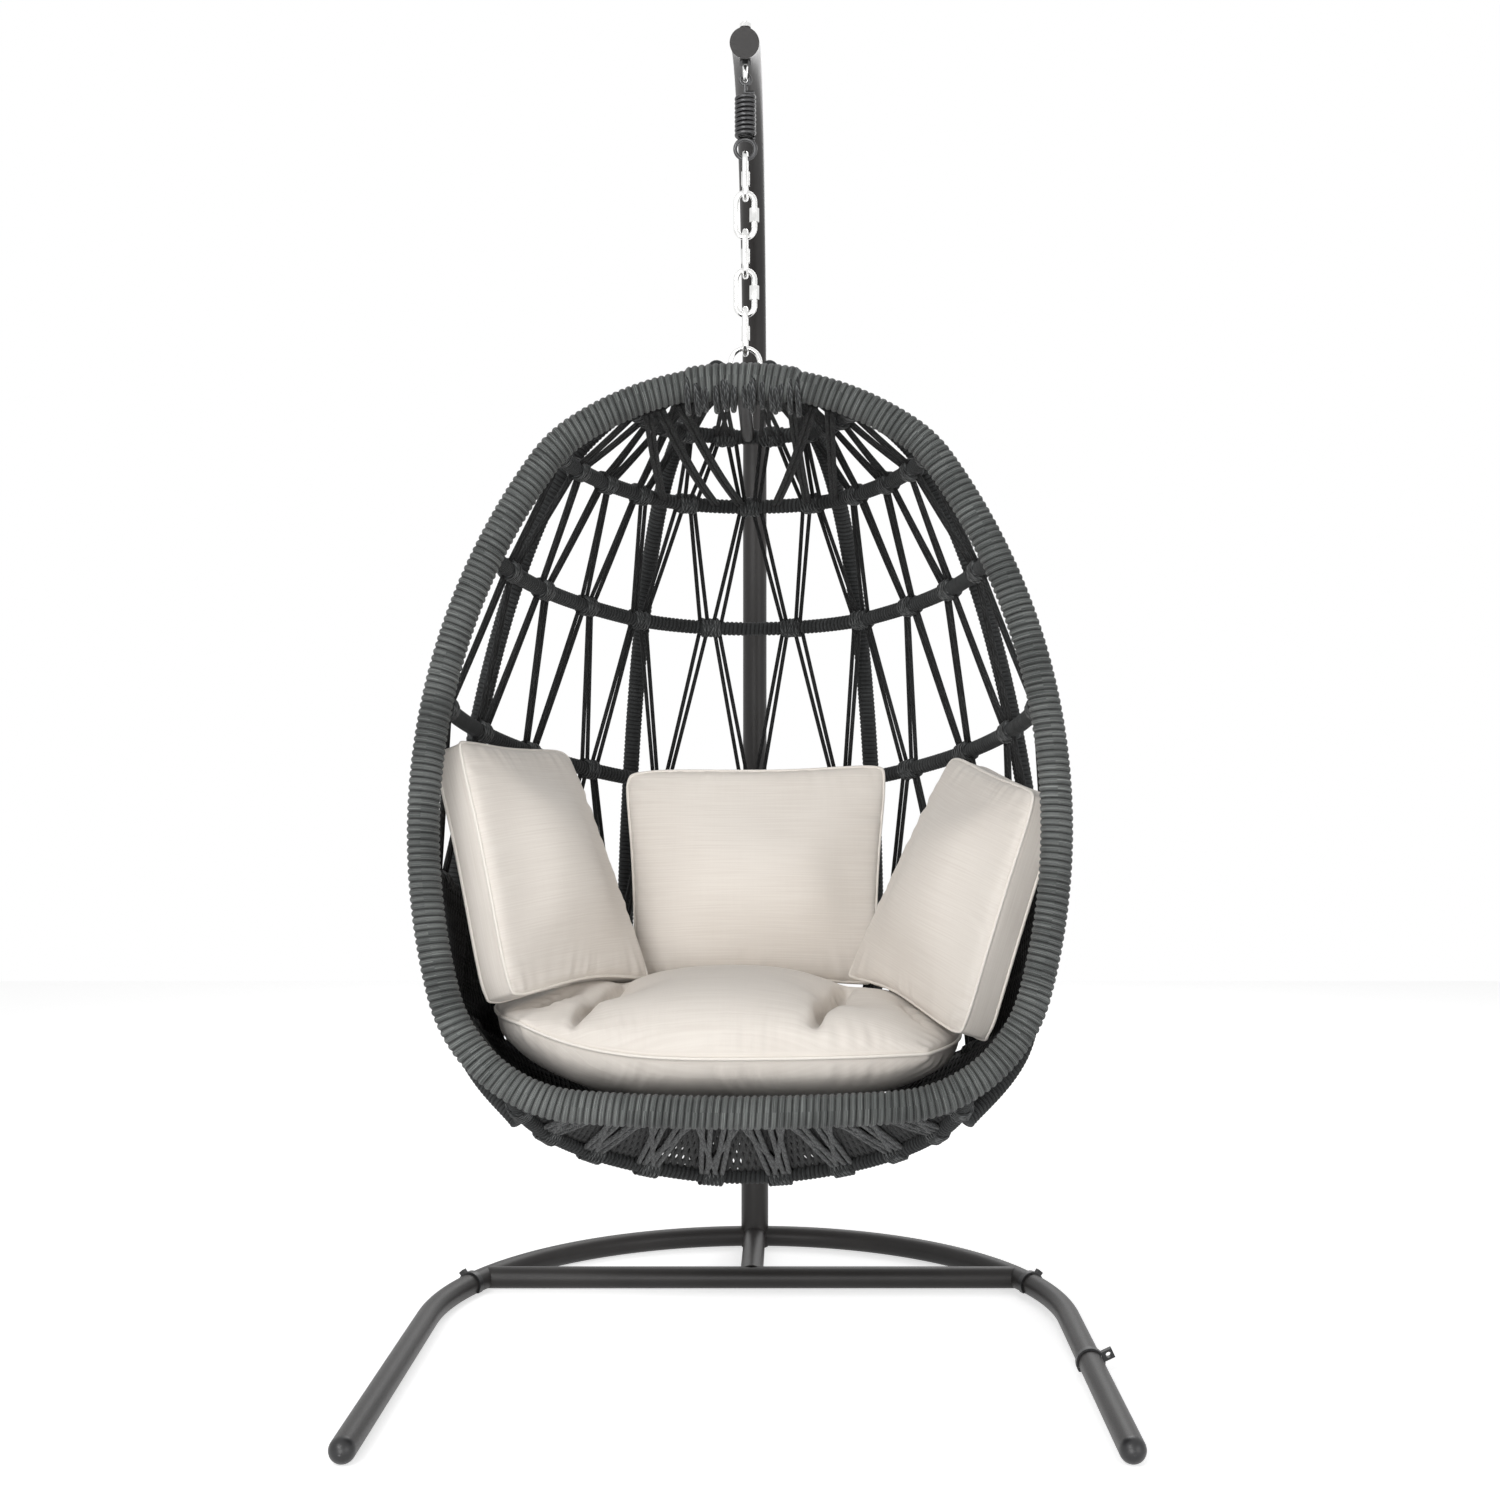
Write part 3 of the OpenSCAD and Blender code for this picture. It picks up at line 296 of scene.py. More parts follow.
class Tubes:
    """Gathers swept tubes into one mesh. UV of a plain cord: metres along it, share around it.
    UV of a tube with rope wound on it: share around the tube, turns of rope along it."""

    def __init__(self):
        self.verts, self.faces, self.uvs, self.caps = [], [], [], []
        self.count = 0

    def add(self, pts, radius, sides, closed=False, normal=None, pitch=None):
        """pts in millimetres. radius is a number or an array (rings, sides).
        normal keeps every section in one attitude; pitch marks a rope wound on the path."""
        pts = np.asarray(pts, float)
        n = len(pts)
        ahead = np.roll(pts, -1, 0) if closed else np.vstack([pts[1:], pts[-1:]])
        behind = np.roll(pts, 1, 0) if closed else np.vstack([pts[:1], pts[:-1]])
        tan = ahead - behind
        tan /= np.linalg.norm(tan, axis=1)[:, None]
        if normal is not None:
            u = np.tile(normal, (n, 1))
        else:
            u = np.zeros_like(pts)
            last = unit(np.cross(tan[0], [0.31, 0.17, 0.93]))
            for i in range(n):
                last = unit(last - np.dot(last, tan[i]) * tan[i])
                u[i] = last
        w = np.cross(tan, u)
        seg = np.linalg.norm(np.diff(pts, axis=0), axis=1)
        s = np.concatenate([[0], np.cumsum(seg)])
        phi = np.linspace(0, 2 * math.pi, sides, endpoint=False)[None, :, None]
        r = np.broadcast_to(radius, (n, sides)) if np.ndim(radius) < 2 else radius
        ring = (pts[:, None, :] + r[..., None] * (np.cos(phi) * u[:, None, :]
                + np.sin(phi) * w[:, None, :]))
        base = self.count
        self.verts.append(ring.reshape(-1, 3) * MM)
        rows = n if closed else n - 1
        i = np.arange(rows)[:, None]
        j = np.arange(sides)[None, :]
        a = base + i * sides + j
        b = base + i * sides + (j + 1) % sides
        c = base + ((i + 1) % n) * sides + (j + 1) % sides
        d = base + ((i + 1) % n) * sides + j
        self.faces.append(np.stack([a, b, c, d], -1).reshape(-1, 4))
        s2 = np.append(s, s[-1] + (seg[-1] if len(seg) else 0))
        sa, sb = s2[i] + 0 * j, s2[i + 1] + 0 * j
        fa, fb = j / sides + 0 * i, (j + 1) / sides + 0 * i
        if pitch:
            sa, sb = sa / pitch, sb / pitch
            uv = [(fa, sa), (fb, sa), (fb, sb), (fa, sb)]
        else:
            sa, sb = sa * MM, sb * MM
            uv = [(sa, fa), (sa, fb), (sb, fb), (sb, fa)]
        self.uvs.append(np.stack([np.stack(p, -1) for p in uv], 2).reshape(-1, 2))
        self.count += n * sides
        if not closed:
            for ring_i, flip in ((0, True), (n - 1, False)):
                ids = [base + ring_i * sides + k for k in range(sides)]
                self.caps.append(ids[::-1] if flip else ids)

    def build(self, name, material):
        verts = np.vstack(self.verts)
        quads = np.vstack(self.faces)
        mesh = bpy.data.meshes.new(name)
        mesh.from_pydata(verts.tolist(), [], quads.tolist() + self.caps)
        mesh.polygons.foreach_set("use_smooth", [True] * len(mesh.polygons))
        layer = mesh.uv_layers.new(name="rope")
        uv = np.zeros((len(mesh.loops), 2))
        flat = np.vstack(self.uvs)
        uv[:len(flat)] = flat
        layer.data.foreach_set("uv", uv.ravel())
        mesh.materials.append(material)
        obj = bpy.data.objects.new(name, mesh)
        bpy.context.scene.collection.objects.link(obj)
        return obj


def wound(points, radius, pitch, sides, depth=1.0):
    """Radii of a tube with rope of that pitch wound round it."""
    pts = np.asarray(points)
    seg = np.linalg.norm(np.diff(pts, axis=0), axis=1)
    s = np.concatenate([[0], np.cumsum(seg)])
    phase = s[:, None] / pitch + np.arange(sides)[None, :] / sides
    off = (phase - np.round(phase)) * pitch
    rope = pitch / 2 * 1.04       # a little thick, as the turns press on one another
    return radius - depth * (rope - np.sqrt(rope ** 2 - off ** 2))


def resampled(path, step):
    """The same curve with points a step apart."""
    s = np.concatenate([[0], np.cumsum(np.linalg.norm(np.diff(path, axis=0), axis=1))])
    t = np.linspace(0, s[-1], int(s[-1] / step) + 1)
    return np.stack([np.interp(t, s, path[:, k]) for k in range(3)], -1)


def smooth_path(p, n):
    """Catmull-Rom curve through the points."""
    out = []
    for i in range(len(p) - 1):
        a, b, c, d = p[max(i - 1, 0)], p[i], p[i + 1], p[min(i + 2, len(p) - 1)]
        for t in np.arange(n) / n:
            out.append(0.5 * (2 * b + (c - a) * t + (2 * a - 5 * b + 4 * c - d) * t * t
                              + (3 * b - a - 3 * c + d) * t ** 3))
    return np.array(out + [p[-1]])


# ---------------------------------------------------------------- materials

def material(name):
    mat = bpy.data.materials.new(name)
    mat.use_nodes = True
    nodes, links = mat.node_tree.nodes, mat.node_tree.links
    shader = nodes["Principled BSDF"]
    return mat, nodes, links, shader


def noise(nodes, links, scale, detail=4.0, coord="Object", stretch=None):
    tex = nodes.new("ShaderNodeTexCoord")
    node = nodes.new("ShaderNodeTexNoise")
    node.inputs["Scale"].default_value = scale
    node.inputs["Detail"].default_value = detail
    source = tex.outputs[coord]
    if stretch:
        mapping = nodes.new("ShaderNodeMapping")
        mapping.inputs["Scale"].default_value = stretch
        links.new(source, mapping.inputs["Vector"])
        source = mapping.outputs["Vector"]
    links.new(source, node.inputs["Vector"])
    return node


def ramp(nodes, links, value, stops):
    node = nodes.new("ShaderNodeValToRGB")
    while len(node.color_ramp.elements) < len(stops):
        node.color_ramp.elements.new(0.5)
    for element, (place, colour) in zip(node.color_ramp.elements, stops):
        element.position = place
        element.color = (*colour, 1)
    links.new(value, node.inputs["Fac"])
    return node


def bump(nodes, links, height, strength, distance, below=None):
    node = nodes.new("ShaderNodeBump")
    node.inputs["Strength"].default_value = strength
    node.inputs["Distance"].default_value = distance
    links.new(height, node.inputs["Height"])
    if below is not None:
        links.new(below.outputs["Normal"], node.inputs["Normal"])
    return node


def powder_coat():
    mat, nodes, links, shader = material("powder_coat")
    tone = noise(nodes, links, 9, 3)
    colour = ramp(nodes, links, tone.outputs["Fac"],
                  [(0.3, (0.017, 0.0155, 0.015)), (0.7, (0.026, 0.0238, 0.0228))])
    links.new(colour.outputs["Color"], shader.inputs["Base Color"])
    grain = noise(nodes, links, 900, 2)
    fine = bump(nodes, links, grain.outputs["Fac"], 0.25, 0.0004)
    links.new(fine.outputs["Normal"], shader.inputs["Normal"])
    rough = ramp(nodes, links, grain.outputs["Fac"], [(0.3, (0.36,) * 3), (0.7, (0.5,) * 3)])
    links.new(rough.outputs["Color"], shader.inputs["Roughness"])
    shader.inputs["Specular IOR Level"].default_value = 0.34
    return mat


def plastic():
    mat, nodes, links, shader = material("black_plastic")
    shader.inputs["Base Color"].default_value = (0.014, 0.014, 0.015, 1)
    grain = noise(nodes, links, 500, 3)
    rough = ramp(nodes, links, grain.outputs["Fac"], [(0.3, (0.32,) * 3), (0.7, (0.46,) * 3)])
    links.new(rough.outputs["Color"], shader.inputs["Roughness"])
    fine = bump(nodes, links, grain.outputs["Fac"], 0.15, 0.0003)
    links.new(fine.outputs["Normal"], shader.inputs["Normal"])
    return mat


def metal(name, colour, low, high):
    mat, nodes, links, shader = material(name)
    shader.inputs["Metallic"].default_value = 1.0
    tone = noise(nodes, links, 60, 5)
    tint = ramp(nodes, links, tone.outputs["Fac"],
                [(0.3, tuple(0.86 * c for c in colour)), (0.7, colour)])
    links.new(tint.outputs["Color"], shader.inputs["Base Color"])
    rough = ramp(nodes, links, tone.outputs["Fac"], [(0.3, (low,) * 3), (0.75, (high,) * 3)])
    links.new(rough.outputs["Color"], shader.inputs["Roughness"])
    fine = bump(nodes, links, noise(nodes, links, 700, 2).outputs["Fac"], 0.08, 0.0002)
    links.new(fine.outputs["Normal"], shader.inputs["Normal"])
    return mat


def maths(nodes, links, operation, first, second=None, third=None):
    """A Math node whose inputs are sockets or numbers."""
    node = nodes.new("ShaderNodeMath")
    node.operation = operation
    for k, value in enumerate((first, second, third)):
        if isinstance(value, bpy.types.NodeSocket):
            links.new(value, node.inputs[k])
        elif value is not None:
            node.inputs[k].default_value = value
    return node.outputs["Value"]


TURN_CHEVRONS = 13.0          # of the yarn's braid, in one turn of a wound rope
CORD_CHEVRONS, CORD_LAY = 105.0, 26.0   # a metre: of the braid, and turns of the strands
CORD_STRANDS = 3.0


def rope_material(name, dark, mid, light, is_wound, sheen=0.12):
    """Braided melange yarn: chevrons along the rope, flecks, and painted shade in its grooves."""
    mat, nodes, links, shader = material(name)
    tex = nodes.new("ShaderNodeTexCoord")
    part = nodes.new("ShaderNodeSeparateXYZ")
    links.new(tex.outputs["UV"], part.inputs["Vector"])
    x, y = part.outputs["X"], part.outputs["Y"]
    if is_wound:
        turn = maths(nodes, links, "ADD", x, y)
        along = maths(nodes, links, "MULTIPLY", turn, TURN_CHEVRONS)
        place = maths(nodes, links, "FRACT", maths(nodes, links, "ADD", turn, 100.5))
    else:
        along = maths(nodes, links, "MULTIPLY", x, CORD_CHEVRONS)
        lay = maths(nodes, links, "MULTIPLY_ADD", x, CORD_LAY, 100.0)
        strand = maths(nodes, links, "MULTIPLY_ADD", y, CORD_STRANDS, lay)
        place = maths(nodes, links, "FRACT", strand)
    across = maths(nodes, links, "SUBTRACT", place, 0.5)
    side = maths(nodes, links, "ABSOLUTE", across)
    slant = maths(nodes, links, "MULTIPLY_ADD", side, 2.2, along)
    wave = maths(nodes, links, "SINE", maths(nodes, links, "MULTIPLY", slant, 2 * math.pi))
    chevron = maths(nodes, links, "MULTIPLY_ADD", wave, 0.5, 0.5)
    where = nodes.new("ShaderNodeCombineXYZ")
    links.new(maths(nodes, links, "MULTIPLY", along, 1.3), where.inputs["X"])
    links.new(maths(nodes, links, "MULTIPLY", across, 3.0), where.inputs["Y"])
    fleck = nodes.new("ShaderNodeTexNoise")
    fleck.inputs["Scale"].default_value = 1.0
    fleck.inputs["Detail"].default_value = 3
    links.new(where.outputs["Vector"], fleck.inputs["Vector"])
    patch = noise(nodes, links, 11, 2)
    mixed = maths(nodes, links, "MULTIPLY_ADD", fleck.outputs["Fac"], 0.75,
                  maths(nodes, links, "MULTIPLY", chevron, 0.25))
    mixed = maths(nodes, links, "MULTIPLY_ADD", patch.outputs["Fac"], 0.25, mixed)
    colour = ramp(nodes, links, mixed, [(0.42, dark), (0.64, mid), (0.84, light)])
    # painted shade: the colour darkens from the crown of each turn or strand down into the grooves
    shade = ramp(nodes, links, side, [(0.18, (1, 1, 1)), (0.38, (0.42, 0.42, 0.42)),
                                      (0.5, (0.1, 0.1, 0.1))])
    tint = nodes.new("ShaderNodeMix")
    tint.data_type, tint.blend_type = "RGBA", "MULTIPLY"
    tint.inputs["Factor"].default_value = 1.0
    links.new(colour.outputs["Color"], tint.inputs["A"])
    links.new(shade.outputs["Color"], tint.inputs["B"])
    links.new(tint.outputs["Result"], shader.inputs["Base Color"])
    shader.inputs["Roughness"].default_value = 0.8
    shader.inputs["Specular IOR Level"].default_value = 0.3
    shader.inputs["Sheen Weight"].default_value = sheen
    shader.inputs["Sheen Roughness"].default_value = 0.5
    braid = bump(nodes, links, chevron, 0.6, 0.0010)
    fuzz = bump(nodes, links, fleck.outputs["Fac"], 0.5, 0.0008, braid)
    links.new(fuzz.outputs["Normal"], shader.inputs["Normal"])
    return mat


def linen(name, dark, light):
    """Plain weave: long slubs along the weft, shorter ones along the warp, fine threads."""
    mat, nodes, links, shader = material(name)
    weft = noise(nodes, links, 1.0, 2, "UV", (9, 520, 1))
    warp = noise(nodes, links, 1.0, 2, "UV", (520, 14, 1))
    cloud = noise(nodes, links, 7, 2)
    tone = maths(nodes, links, "MULTIPLY_ADD", weft.outputs["Fac"], 0.6,
                 maths(nodes, links, "MULTIPLY", warp.outputs["Fac"], 0.1))
    tone = maths(nodes, links, "MULTIPLY_ADD", cloud.outputs["Fac"], 0.3, tone)
    colour = ramp(nodes, links, tone, [(0.36, dark), (0.6, light)])
    links.new(colour.outputs["Color"], shader.inputs["Base Color"])
    shader.inputs["Roughness"].default_value = 0.82
    shader.inputs["Sheen Weight"].default_value = 0.2
    shader.inputs["Sheen Roughness"].default_value = 0.6
    fine = noise(nodes, links, 1.0, 1, "UV", (1500, 1500, 1))
    thread = bump(nodes, links, fine.outputs["Fac"], 0.25, 0.0004)
    slub = bump(nodes, links, weft.outputs["Fac"], 0.12, 0.0006, thread)
    soft = noise(nodes, links, 14, 2)
    crease = bump(nodes, links, soft.outputs["Fac"], 0.2, 0.005, slub)
    links.new(crease.outputs["Normal"], shader.inputs["Normal"])
    return mat


COAT = powder_coat()
PLASTIC = plastic()
ZINC = metal("zinc", (0.86, 0.86, 0.85), 0.12, 0.3)
DARK_STEEL = metal("black_steel", (0.09, 0.09, 0.092), 0.28, 0.42)
ROPE = rope_material("rope", (0.018, 0.020, 0.0195), (0.090, 0.098, 0.095),
                     (0.40, 0.42, 0.405), True)
CORD = rope_material("rope_cord", (0.014, 0.015, 0.0155), (0.046, 0.049, 0.050),
                     (0.15, 0.155, 0.155), False)
# a darker copy of the same cord: painted shade for the cords that lie in shadow
CORD_SHADED = rope_material("rope_cord_shaded", (0.004, 0.0042, 0.0043), (0.010, 0.0105, 0.011),
                          (0.034, 0.035, 0.035), False, 0.03)
HOOP_ROPE = rope_material("rope_hoop", (0.008, 0.0085, 0.009), (0.028, 0.030, 0.031),
                          (0.10, 0.105, 0.105), True, 0.06)
LINEN = linen("linen", (0.655, 0.603, 0.548), (0.715, 0.668, 0.612))
# a lighter copy of the linen for the piping: a painted highlight along its top
WELT_LIT = linen("linen_welt_lit", (0.74, 0.69, 0.63), (0.81, 0.765, 0.705))
SLOT_MATERIAL = {"powder_coat": COAT, "black_plastic": PLASTIC, "zinc": ZINC,
                 "black_steel": DARK_STEEL, "rope": ROPE, "linen": LINEN}


def dress_cad_nodes():
    slots = {s["node"]: s["material_slot"] for s in frame["record"]["subparts"]}
    for name, obj in frame["nodes"].items():
        for place in obj.material_slots:
            place.material = SLOT_MATERIAL[slots[name]]


# ---------------------------------------------------------------- rope work

def wound_rim():
    """One rope wound side by side on the rim, with a second layer round the hanger."""
    pts = np.array([rim_point(x, v) for x, v in RIM.outline(RIM_STEP)])
    normal = np.array([0, -math.cos(RIM_TILT), math.sin(RIM_TILT)])
    length = np.linalg.norm(pts - np.roll(pts, 1, 0), axis=1).sum()
    pitch = length / round(length / ROPE_PITCH)
    inside = SECOND_LAYER + 4 - np.abs(pts[:, 0])
    near = (CROWN[2] - pts[:, 2] < 60) & (inside > 0)
    extra = np.where(near, np.clip(inside / 8, 0, 1), 0)
    radius = wound(pts, WRAP_R, pitch, 24) + SECOND_RISE * extra[:, None]
    tubes = Tubes()
    tubes.add(pts, radius, 24, True, normal, pitch=pitch)
    put(tubes.build("rope_on_rim", ROPE), BASKET, "rope", "rim_wrap")


def crown_lashings():
    """Loops of rope slung round the rim and the ends of the roof's cords."""
    tubes = Tubes()
    a = np.linspace(0, 2 * math.pi, 22, endpoint=False)
    for i in range(LASHINGS):
        l = (i - LASHINGS // 2) * LASHING_STEP
        centre = row_point(0, l) + [0, 5, -8]
        high = LASHING_HIGH + 3 * math.sin(2.1 * i)
        back = LASHING_DEEP + 2.0 * math.sin(1.3 * i + 1)
        sway = LASHING_SWAY * math.sin(1.7 * i)
        loop = centre + np.stack([sway * 0.5 * (1 - np.cos(a)), back * np.sin(a),
                                  high * np.cos(a)], -1)
        tubes.add(loop, LASHING_R, 8, True)
    put(tubes.build("rope_crown_lashings", CORD), BASKET, "rope")


def crown_ties():
    """Pairs of cord slung from the crown of the rim to the second hoop, under the first."""
    tubes = Tubes()
    for l, end in CROWN_TIES:
        for gap in (-TIE_GAP, TIE_GAP):
            p = row_point(0, l + gap) + [0, 6, -WRAP_R]
            q = row_point(2, end + gap)
            t = np.linspace(0, 1, 14)[:, None]
            sag = TIE_SAG * np.sin(math.pi * t) * np.array([0, 0, -1.0])
            tubes.add(p + (q - p) * t + sag, TIE_R, 8)
    # the darker cord copy is painted shade under the crown
    put(tubes.build("rope_crown_ties", CORD_SHADED), BASKET, "rope")


def wound_hoops():
    for i, hoop in enumerate(HOOPS):
        reach = hoop.length - WRAP_R * 0.8
        ls = np.arange(-reach, reach, ROPE_STEP)
        pts = np.array([hoop.at(l) for l in ls])
        normal = unit(np.cross([1, 0, 0], hoop.dir))
        tubes = Tubes()
        tubes.add(pts, wound(pts, HOOP_R, HOOP_PITCH, 16), 16, False, normal, pitch=HOOP_PITCH)
        put(tubes.build(f"rope_on_hoop_{i + 1}", HOOP_ROPE), BASKET, "rope", f"hoop_{i + 1}")


def knots():
    """Each knot: turns of cord laid round the hoop, and one pass across them."""
    tubes = Tubes()
    r = KNOT_R - CORD_R
    whole = 2 * math.pi * KNOT_TURNS
    pass_angle, pass_reach = 1.9, 11      # half the angle of that pass, and half its length
    for k in range(1, ROWS):
        for share in knot_shares(k):
            l = share * row_length(k)
            p, t = row_point(k, l), unit(row_tangent(k, l))
            out = outward(k, share)
            side = np.cross(t, out)
            a = np.linspace(0, whole, 14 * KNOT_TURNS)[:, None]
            along = (a / whole - 0.5) * (3 * CORD_STEP)
            path = p + along * t + r * (np.cos(a) * out + np.sin(a) * side)
            tubes.add(path, CORD_R * FULLER, 8)
            b = np.linspace(-pass_angle, pass_angle, 14)[:, None]
            along = b / pass_angle * pass_reach
            path = p + along * t + (r + 1.2) * (-np.cos(b) * out + np.sin(b) * side)
            tubes.add(path, CORD_R, 8)
    put(tubes.build("rope_knots", CORD), BASKET, "rope", "knots")


def pair_step(k):
    return min(CORD_STEP, KNOT_STEP * row_length(k) / 3)


PAIR = (0.5, 1.5)             # places of the cords on a knot, in cord steps
CROSSED = (-0.5, -1.5)        # cords that start from the far side of the knot
SINGLE_CROSSED = (-1.0,)
DENSE = (0.25, 1.0, 1.75, 2.5)
DENSE_CROSSED = (-0.5, -1.25, -2.0)


def cord_ends(k, hub, places):
    """Both ends of each cord of a band, as lengths along its two rows."""
    for a in knot_shares(k):
        for b in knot_shares(k + 1):
            if abs(abs(a - b) - KNOT_STEP / 2) < 0.01 and abs(a) >= hub:
                s = math.copysign(1, b - a)
                for j in places:
                    far = math.copysign(2, j) - j
                    drift = 1.6 * math.sin(17 * a + 5 * k + 3 * j)
                    yield (a * row_length(k) + s * j * pair_step(k) + drift,
                           b * row_length(k + 1) - s * far * pair_step(k + 1) - drift)


def sunk(k):
    """How far from a row's centreline a cord ends, just inside the rope or knot there."""
    return WRAP_R - 2 if k in (0, ROWS) else KNOT_R - CORD_R * 1.5


def net(name, bands, rope, node, thick=1.0):
    """Slack cords between rows; each band is its upper row, open hub and cords."""
    tubes = Tubes()
    for k, hub, places in bands:
        for la, lb in cord_ends(k, hub, places):
            p, q = row_point(k, la), row_point(k + 1, lb)
            d = unit(q - p)
            p, q = p + d * sunk(k), q - d * sunk(k + 1)
            n = max(6, int(np.linalg.norm(q - p) / 18))
            t = np.linspace(0, 1, n)[:, None]
            slack = CORD_SLACK * np.sin(math.pi * t)
            tubes.add(p + (q - p) * t + slack * np.array([0, 0, -1.0]), thick * CORD_R, 10)
    put(tubes.build(name, rope), BASKET, "rope", node)


def weave():
    """A close inner layer of cords under the seat, slanting both ways."""
    tubes = Tubes()
    for k, low, high in WEAVE:
        count = int((high - low) * row_length(k) / WEAVE_STEP)
        for i in range(count):
            a = low + (high - low) * (i + 0.5) / count
            for side in (-1, 1):
                for slant in (-WEAVE_SLANT, WEAVE_SLANT):
                    b = side * min(0.97, a + slant)
                    p = row_point(k, side * a * row_length(k)) - WEAVE_LIFT * outward(k, side * a)
                    q = row_point(k + 1, b * row_length(k + 1)) - WEAVE_LIFT * outward(k + 1, b)
                    path = p + (q - p) * np.linspace(0, 1, 8)[:, None]
                    tubes.add(path, CORD_R * FULLER, 8)
    # the darker cord copy is painted shade under the seat
    put(tubes.build("rope_weave", CORD_SHADED), BASKET, "rope")


def rib_route(share, from_crown):
    """Over the hoops, and over the knots where they are close, to short of the last hoop."""
    points = []
    for k in range(1, ROWS - 1):
        close = RIB_TO_KNOT * row_length(k) < (3 * CORD_STEP + 2 * CORD_R + 2 * RIB_R) / 2
        lift = RIB_R + RIB_PLAY + (KNOT_R if close else HOOP_R)
        points.append(row_point(k, share * row_length(k)) + lift * outward(k, share))
    if from_crown:
        points.insert(0, rib_end(0, share, share * CROWN_HALF, points[0]))
    k = ROWS - 2
    a, b = (row_point(r, share * row_length(r)) for r in (k, k + 1))
    out = unit(outward(k, share) + outward(k + 1, share))
    points.append(a + RIB_REACH * (b - a) + (RIB_R + CORD_R + 2) * out)
    return resampled(smooth_path(points, 16), ROPE_STEP)


def rib_end(k, share, l, ahead):
    p = row_point(k, l)
    return p + (WRAP_R + RIB_R + RIB_PLAY) * unit(unit(ahead - p) + 0.9 * outward(k, share))


def ribs():
    for name, share in RIB_SHARES.items():
        path = rib_route(share, "inner" in name)
        tubes = Tubes()
        tubes.add(path, wound(path, RIB_R, RIB_PITCH, 20, 0.6), 20, pitch=RIB_PITCH)
        put(tubes.build(f"rope_{name}", HOOP_ROPE), BASKET, "rope", name)


# ---------------------------------------------------------------- hang line

def spring():
    """The coil, as one smooth helix of the CAD node's size."""
    low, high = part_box("spring_coil")
    mid = (low + high) / 2
    wire_r = COIL_WIRE / 2
    coil_r = (high.x - low.x) / 2 / MM - wire_r + 0.1
    height = (high.z - low.z) / MM - COIL_WIRE
    a = np.linspace(0, 2 * math.pi * COIL_TURNS, 40 * COIL_TURNS)
    path = np.stack([mid.x / MM + coil_r * np.cos(a), mid.y / MM + coil_r * np.sin(a),
                     low.z / MM + wire_r + height * a / a[-1]], -1)
    tubes = Tubes()
    tubes.add(path, wire_r, 14)
    coil = tubes.build("spring_wire", DARK_STEEL)
    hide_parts("spring_coil")
    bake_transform(coil)


# ---------------------------------------------------------------- cushions

class Form:
    """Two panels over one outline, joined by a boxing strip, in the cushion's own frame."""

    def __init__(self, nu, nv, outline, top, bottom, rows):
        u = 2 * np.arange(nu + 1)[:, None] / nu - 1 + np.zeros((1, nv + 1))
        v = 2 * np.arange(nv + 1)[None, :] / nv - 1 + np.zeros((nu + 1, 1))
        x, y = outline(u, v)
        self.u, self.v = u.ravel(), v.ravel()
        self.x, self.y = x.ravel(), y.ravel()
        m = (nu + 1) * (nv + 1)
        upper = np.stack([x, y, top(u, v, x, y)], -1).reshape(-1, 3)
        lower = np.stack([x, y, bottom(u, v, x, y)], -1).reshape(-1, 3)
        ids = np.arange(m).reshape(nu + 1, nv + 1)
        rim = np.concatenate([ids[0, :-1], ids[:-1, -1], ids[-1, :0:-1], ids[:0:-1, 0]])
        strips = [rim]
        verts = [upper, lower]
        base = 2 * m
        for r in range(1, rows):
            t = r / rows
            verts.append((1 - t) * upper[rim] + t * lower[rim])
            strips.append(np.arange(base, base + len(rim)))
            base += len(rim)
        strips.append(rim + m)
        self.loops = strips
        quads = np.stack([ids[:-1, :-1], ids[1:, :-1], ids[1:, 1:], ids[:-1, 1:]], -1)
        quads = quads.reshape(-1, 4)
        faces = [quads, quads[:, ::-1] + m]
        for a, b in zip(strips[:-1], strips[1:]):
            faces.append(np.stack([a, np.roll(a, -1), np.roll(b, -1), b], -1))
        self.verts = np.vstack(verts)
        self.faces = np.vstack(faces)
        self.m = m
        flat = self.verts[:, :2] * MM
        step = np.linalg.norm(upper[rim] - np.roll(upper[rim], 1, 0), axis=1)
        run = np.concatenate([[0], np.cumsum(step[1:])]) * MM
        ahead = np.append(run[1:], run[-1] + step[0] * MM)
        strip_uv = []
        for k in range(rows):
            a, b = k * GUSSET * MM / rows, (k + 1) * GUSSET * MM / rows
            strip_uv.append(np.stack([np.stack([run, run * 0 + a], -1),
                                      np.stack([ahead, run * 0 + a], -1),
                                      np.stack([ahead, run * 0 + b], -1),
                                      np.stack([run, run * 0 + b], -1)], 1))
        self.uv = np.vstack([flat[quads], flat[quads[:, ::-1]]] + strip_uv)

    def flip(self):
        """Turns the faces over, after the form was mirrored."""
        self.faces = self.faces[:, ::-1]
        self.uv = self.uv[:, ::-1]

    def pucker(self, depth, reach, pitch):
        """Gathers in both panels beside the seams: height along the panel's normal."""
        height = np.zeros(len(self.verts))
        w = np.ptp(self.x) / 2
        h = np.ptp(self.y) / 2
        for edge, along, across in ((self.u, self.y, w), (self.v, self.x, h)):
            gap = (1 - np.abs(edge)) * across
            lean = along + 0.3 * gap * np.sin(along / 47 + 2 * edge)
            wave = (np.sin(2 * math.pi * lean / pitch + 3 * np.sin(lean / 31 + edge))
                    + 0.7 * np.sin(2 * math.pi * lean / (2.3 * pitch) + 2 * edge))
            strength = 0.65 + 0.35 * np.sin(along / 23 + 5 * edge)
            fade = strength * np.exp(-(gap / reach) ** 1.2) * np.minimum(1, gap / 4)
            height[:self.m] += depth * wave * fade
            height[self.m:2 * self.m] += depth * wave * fade
        return height


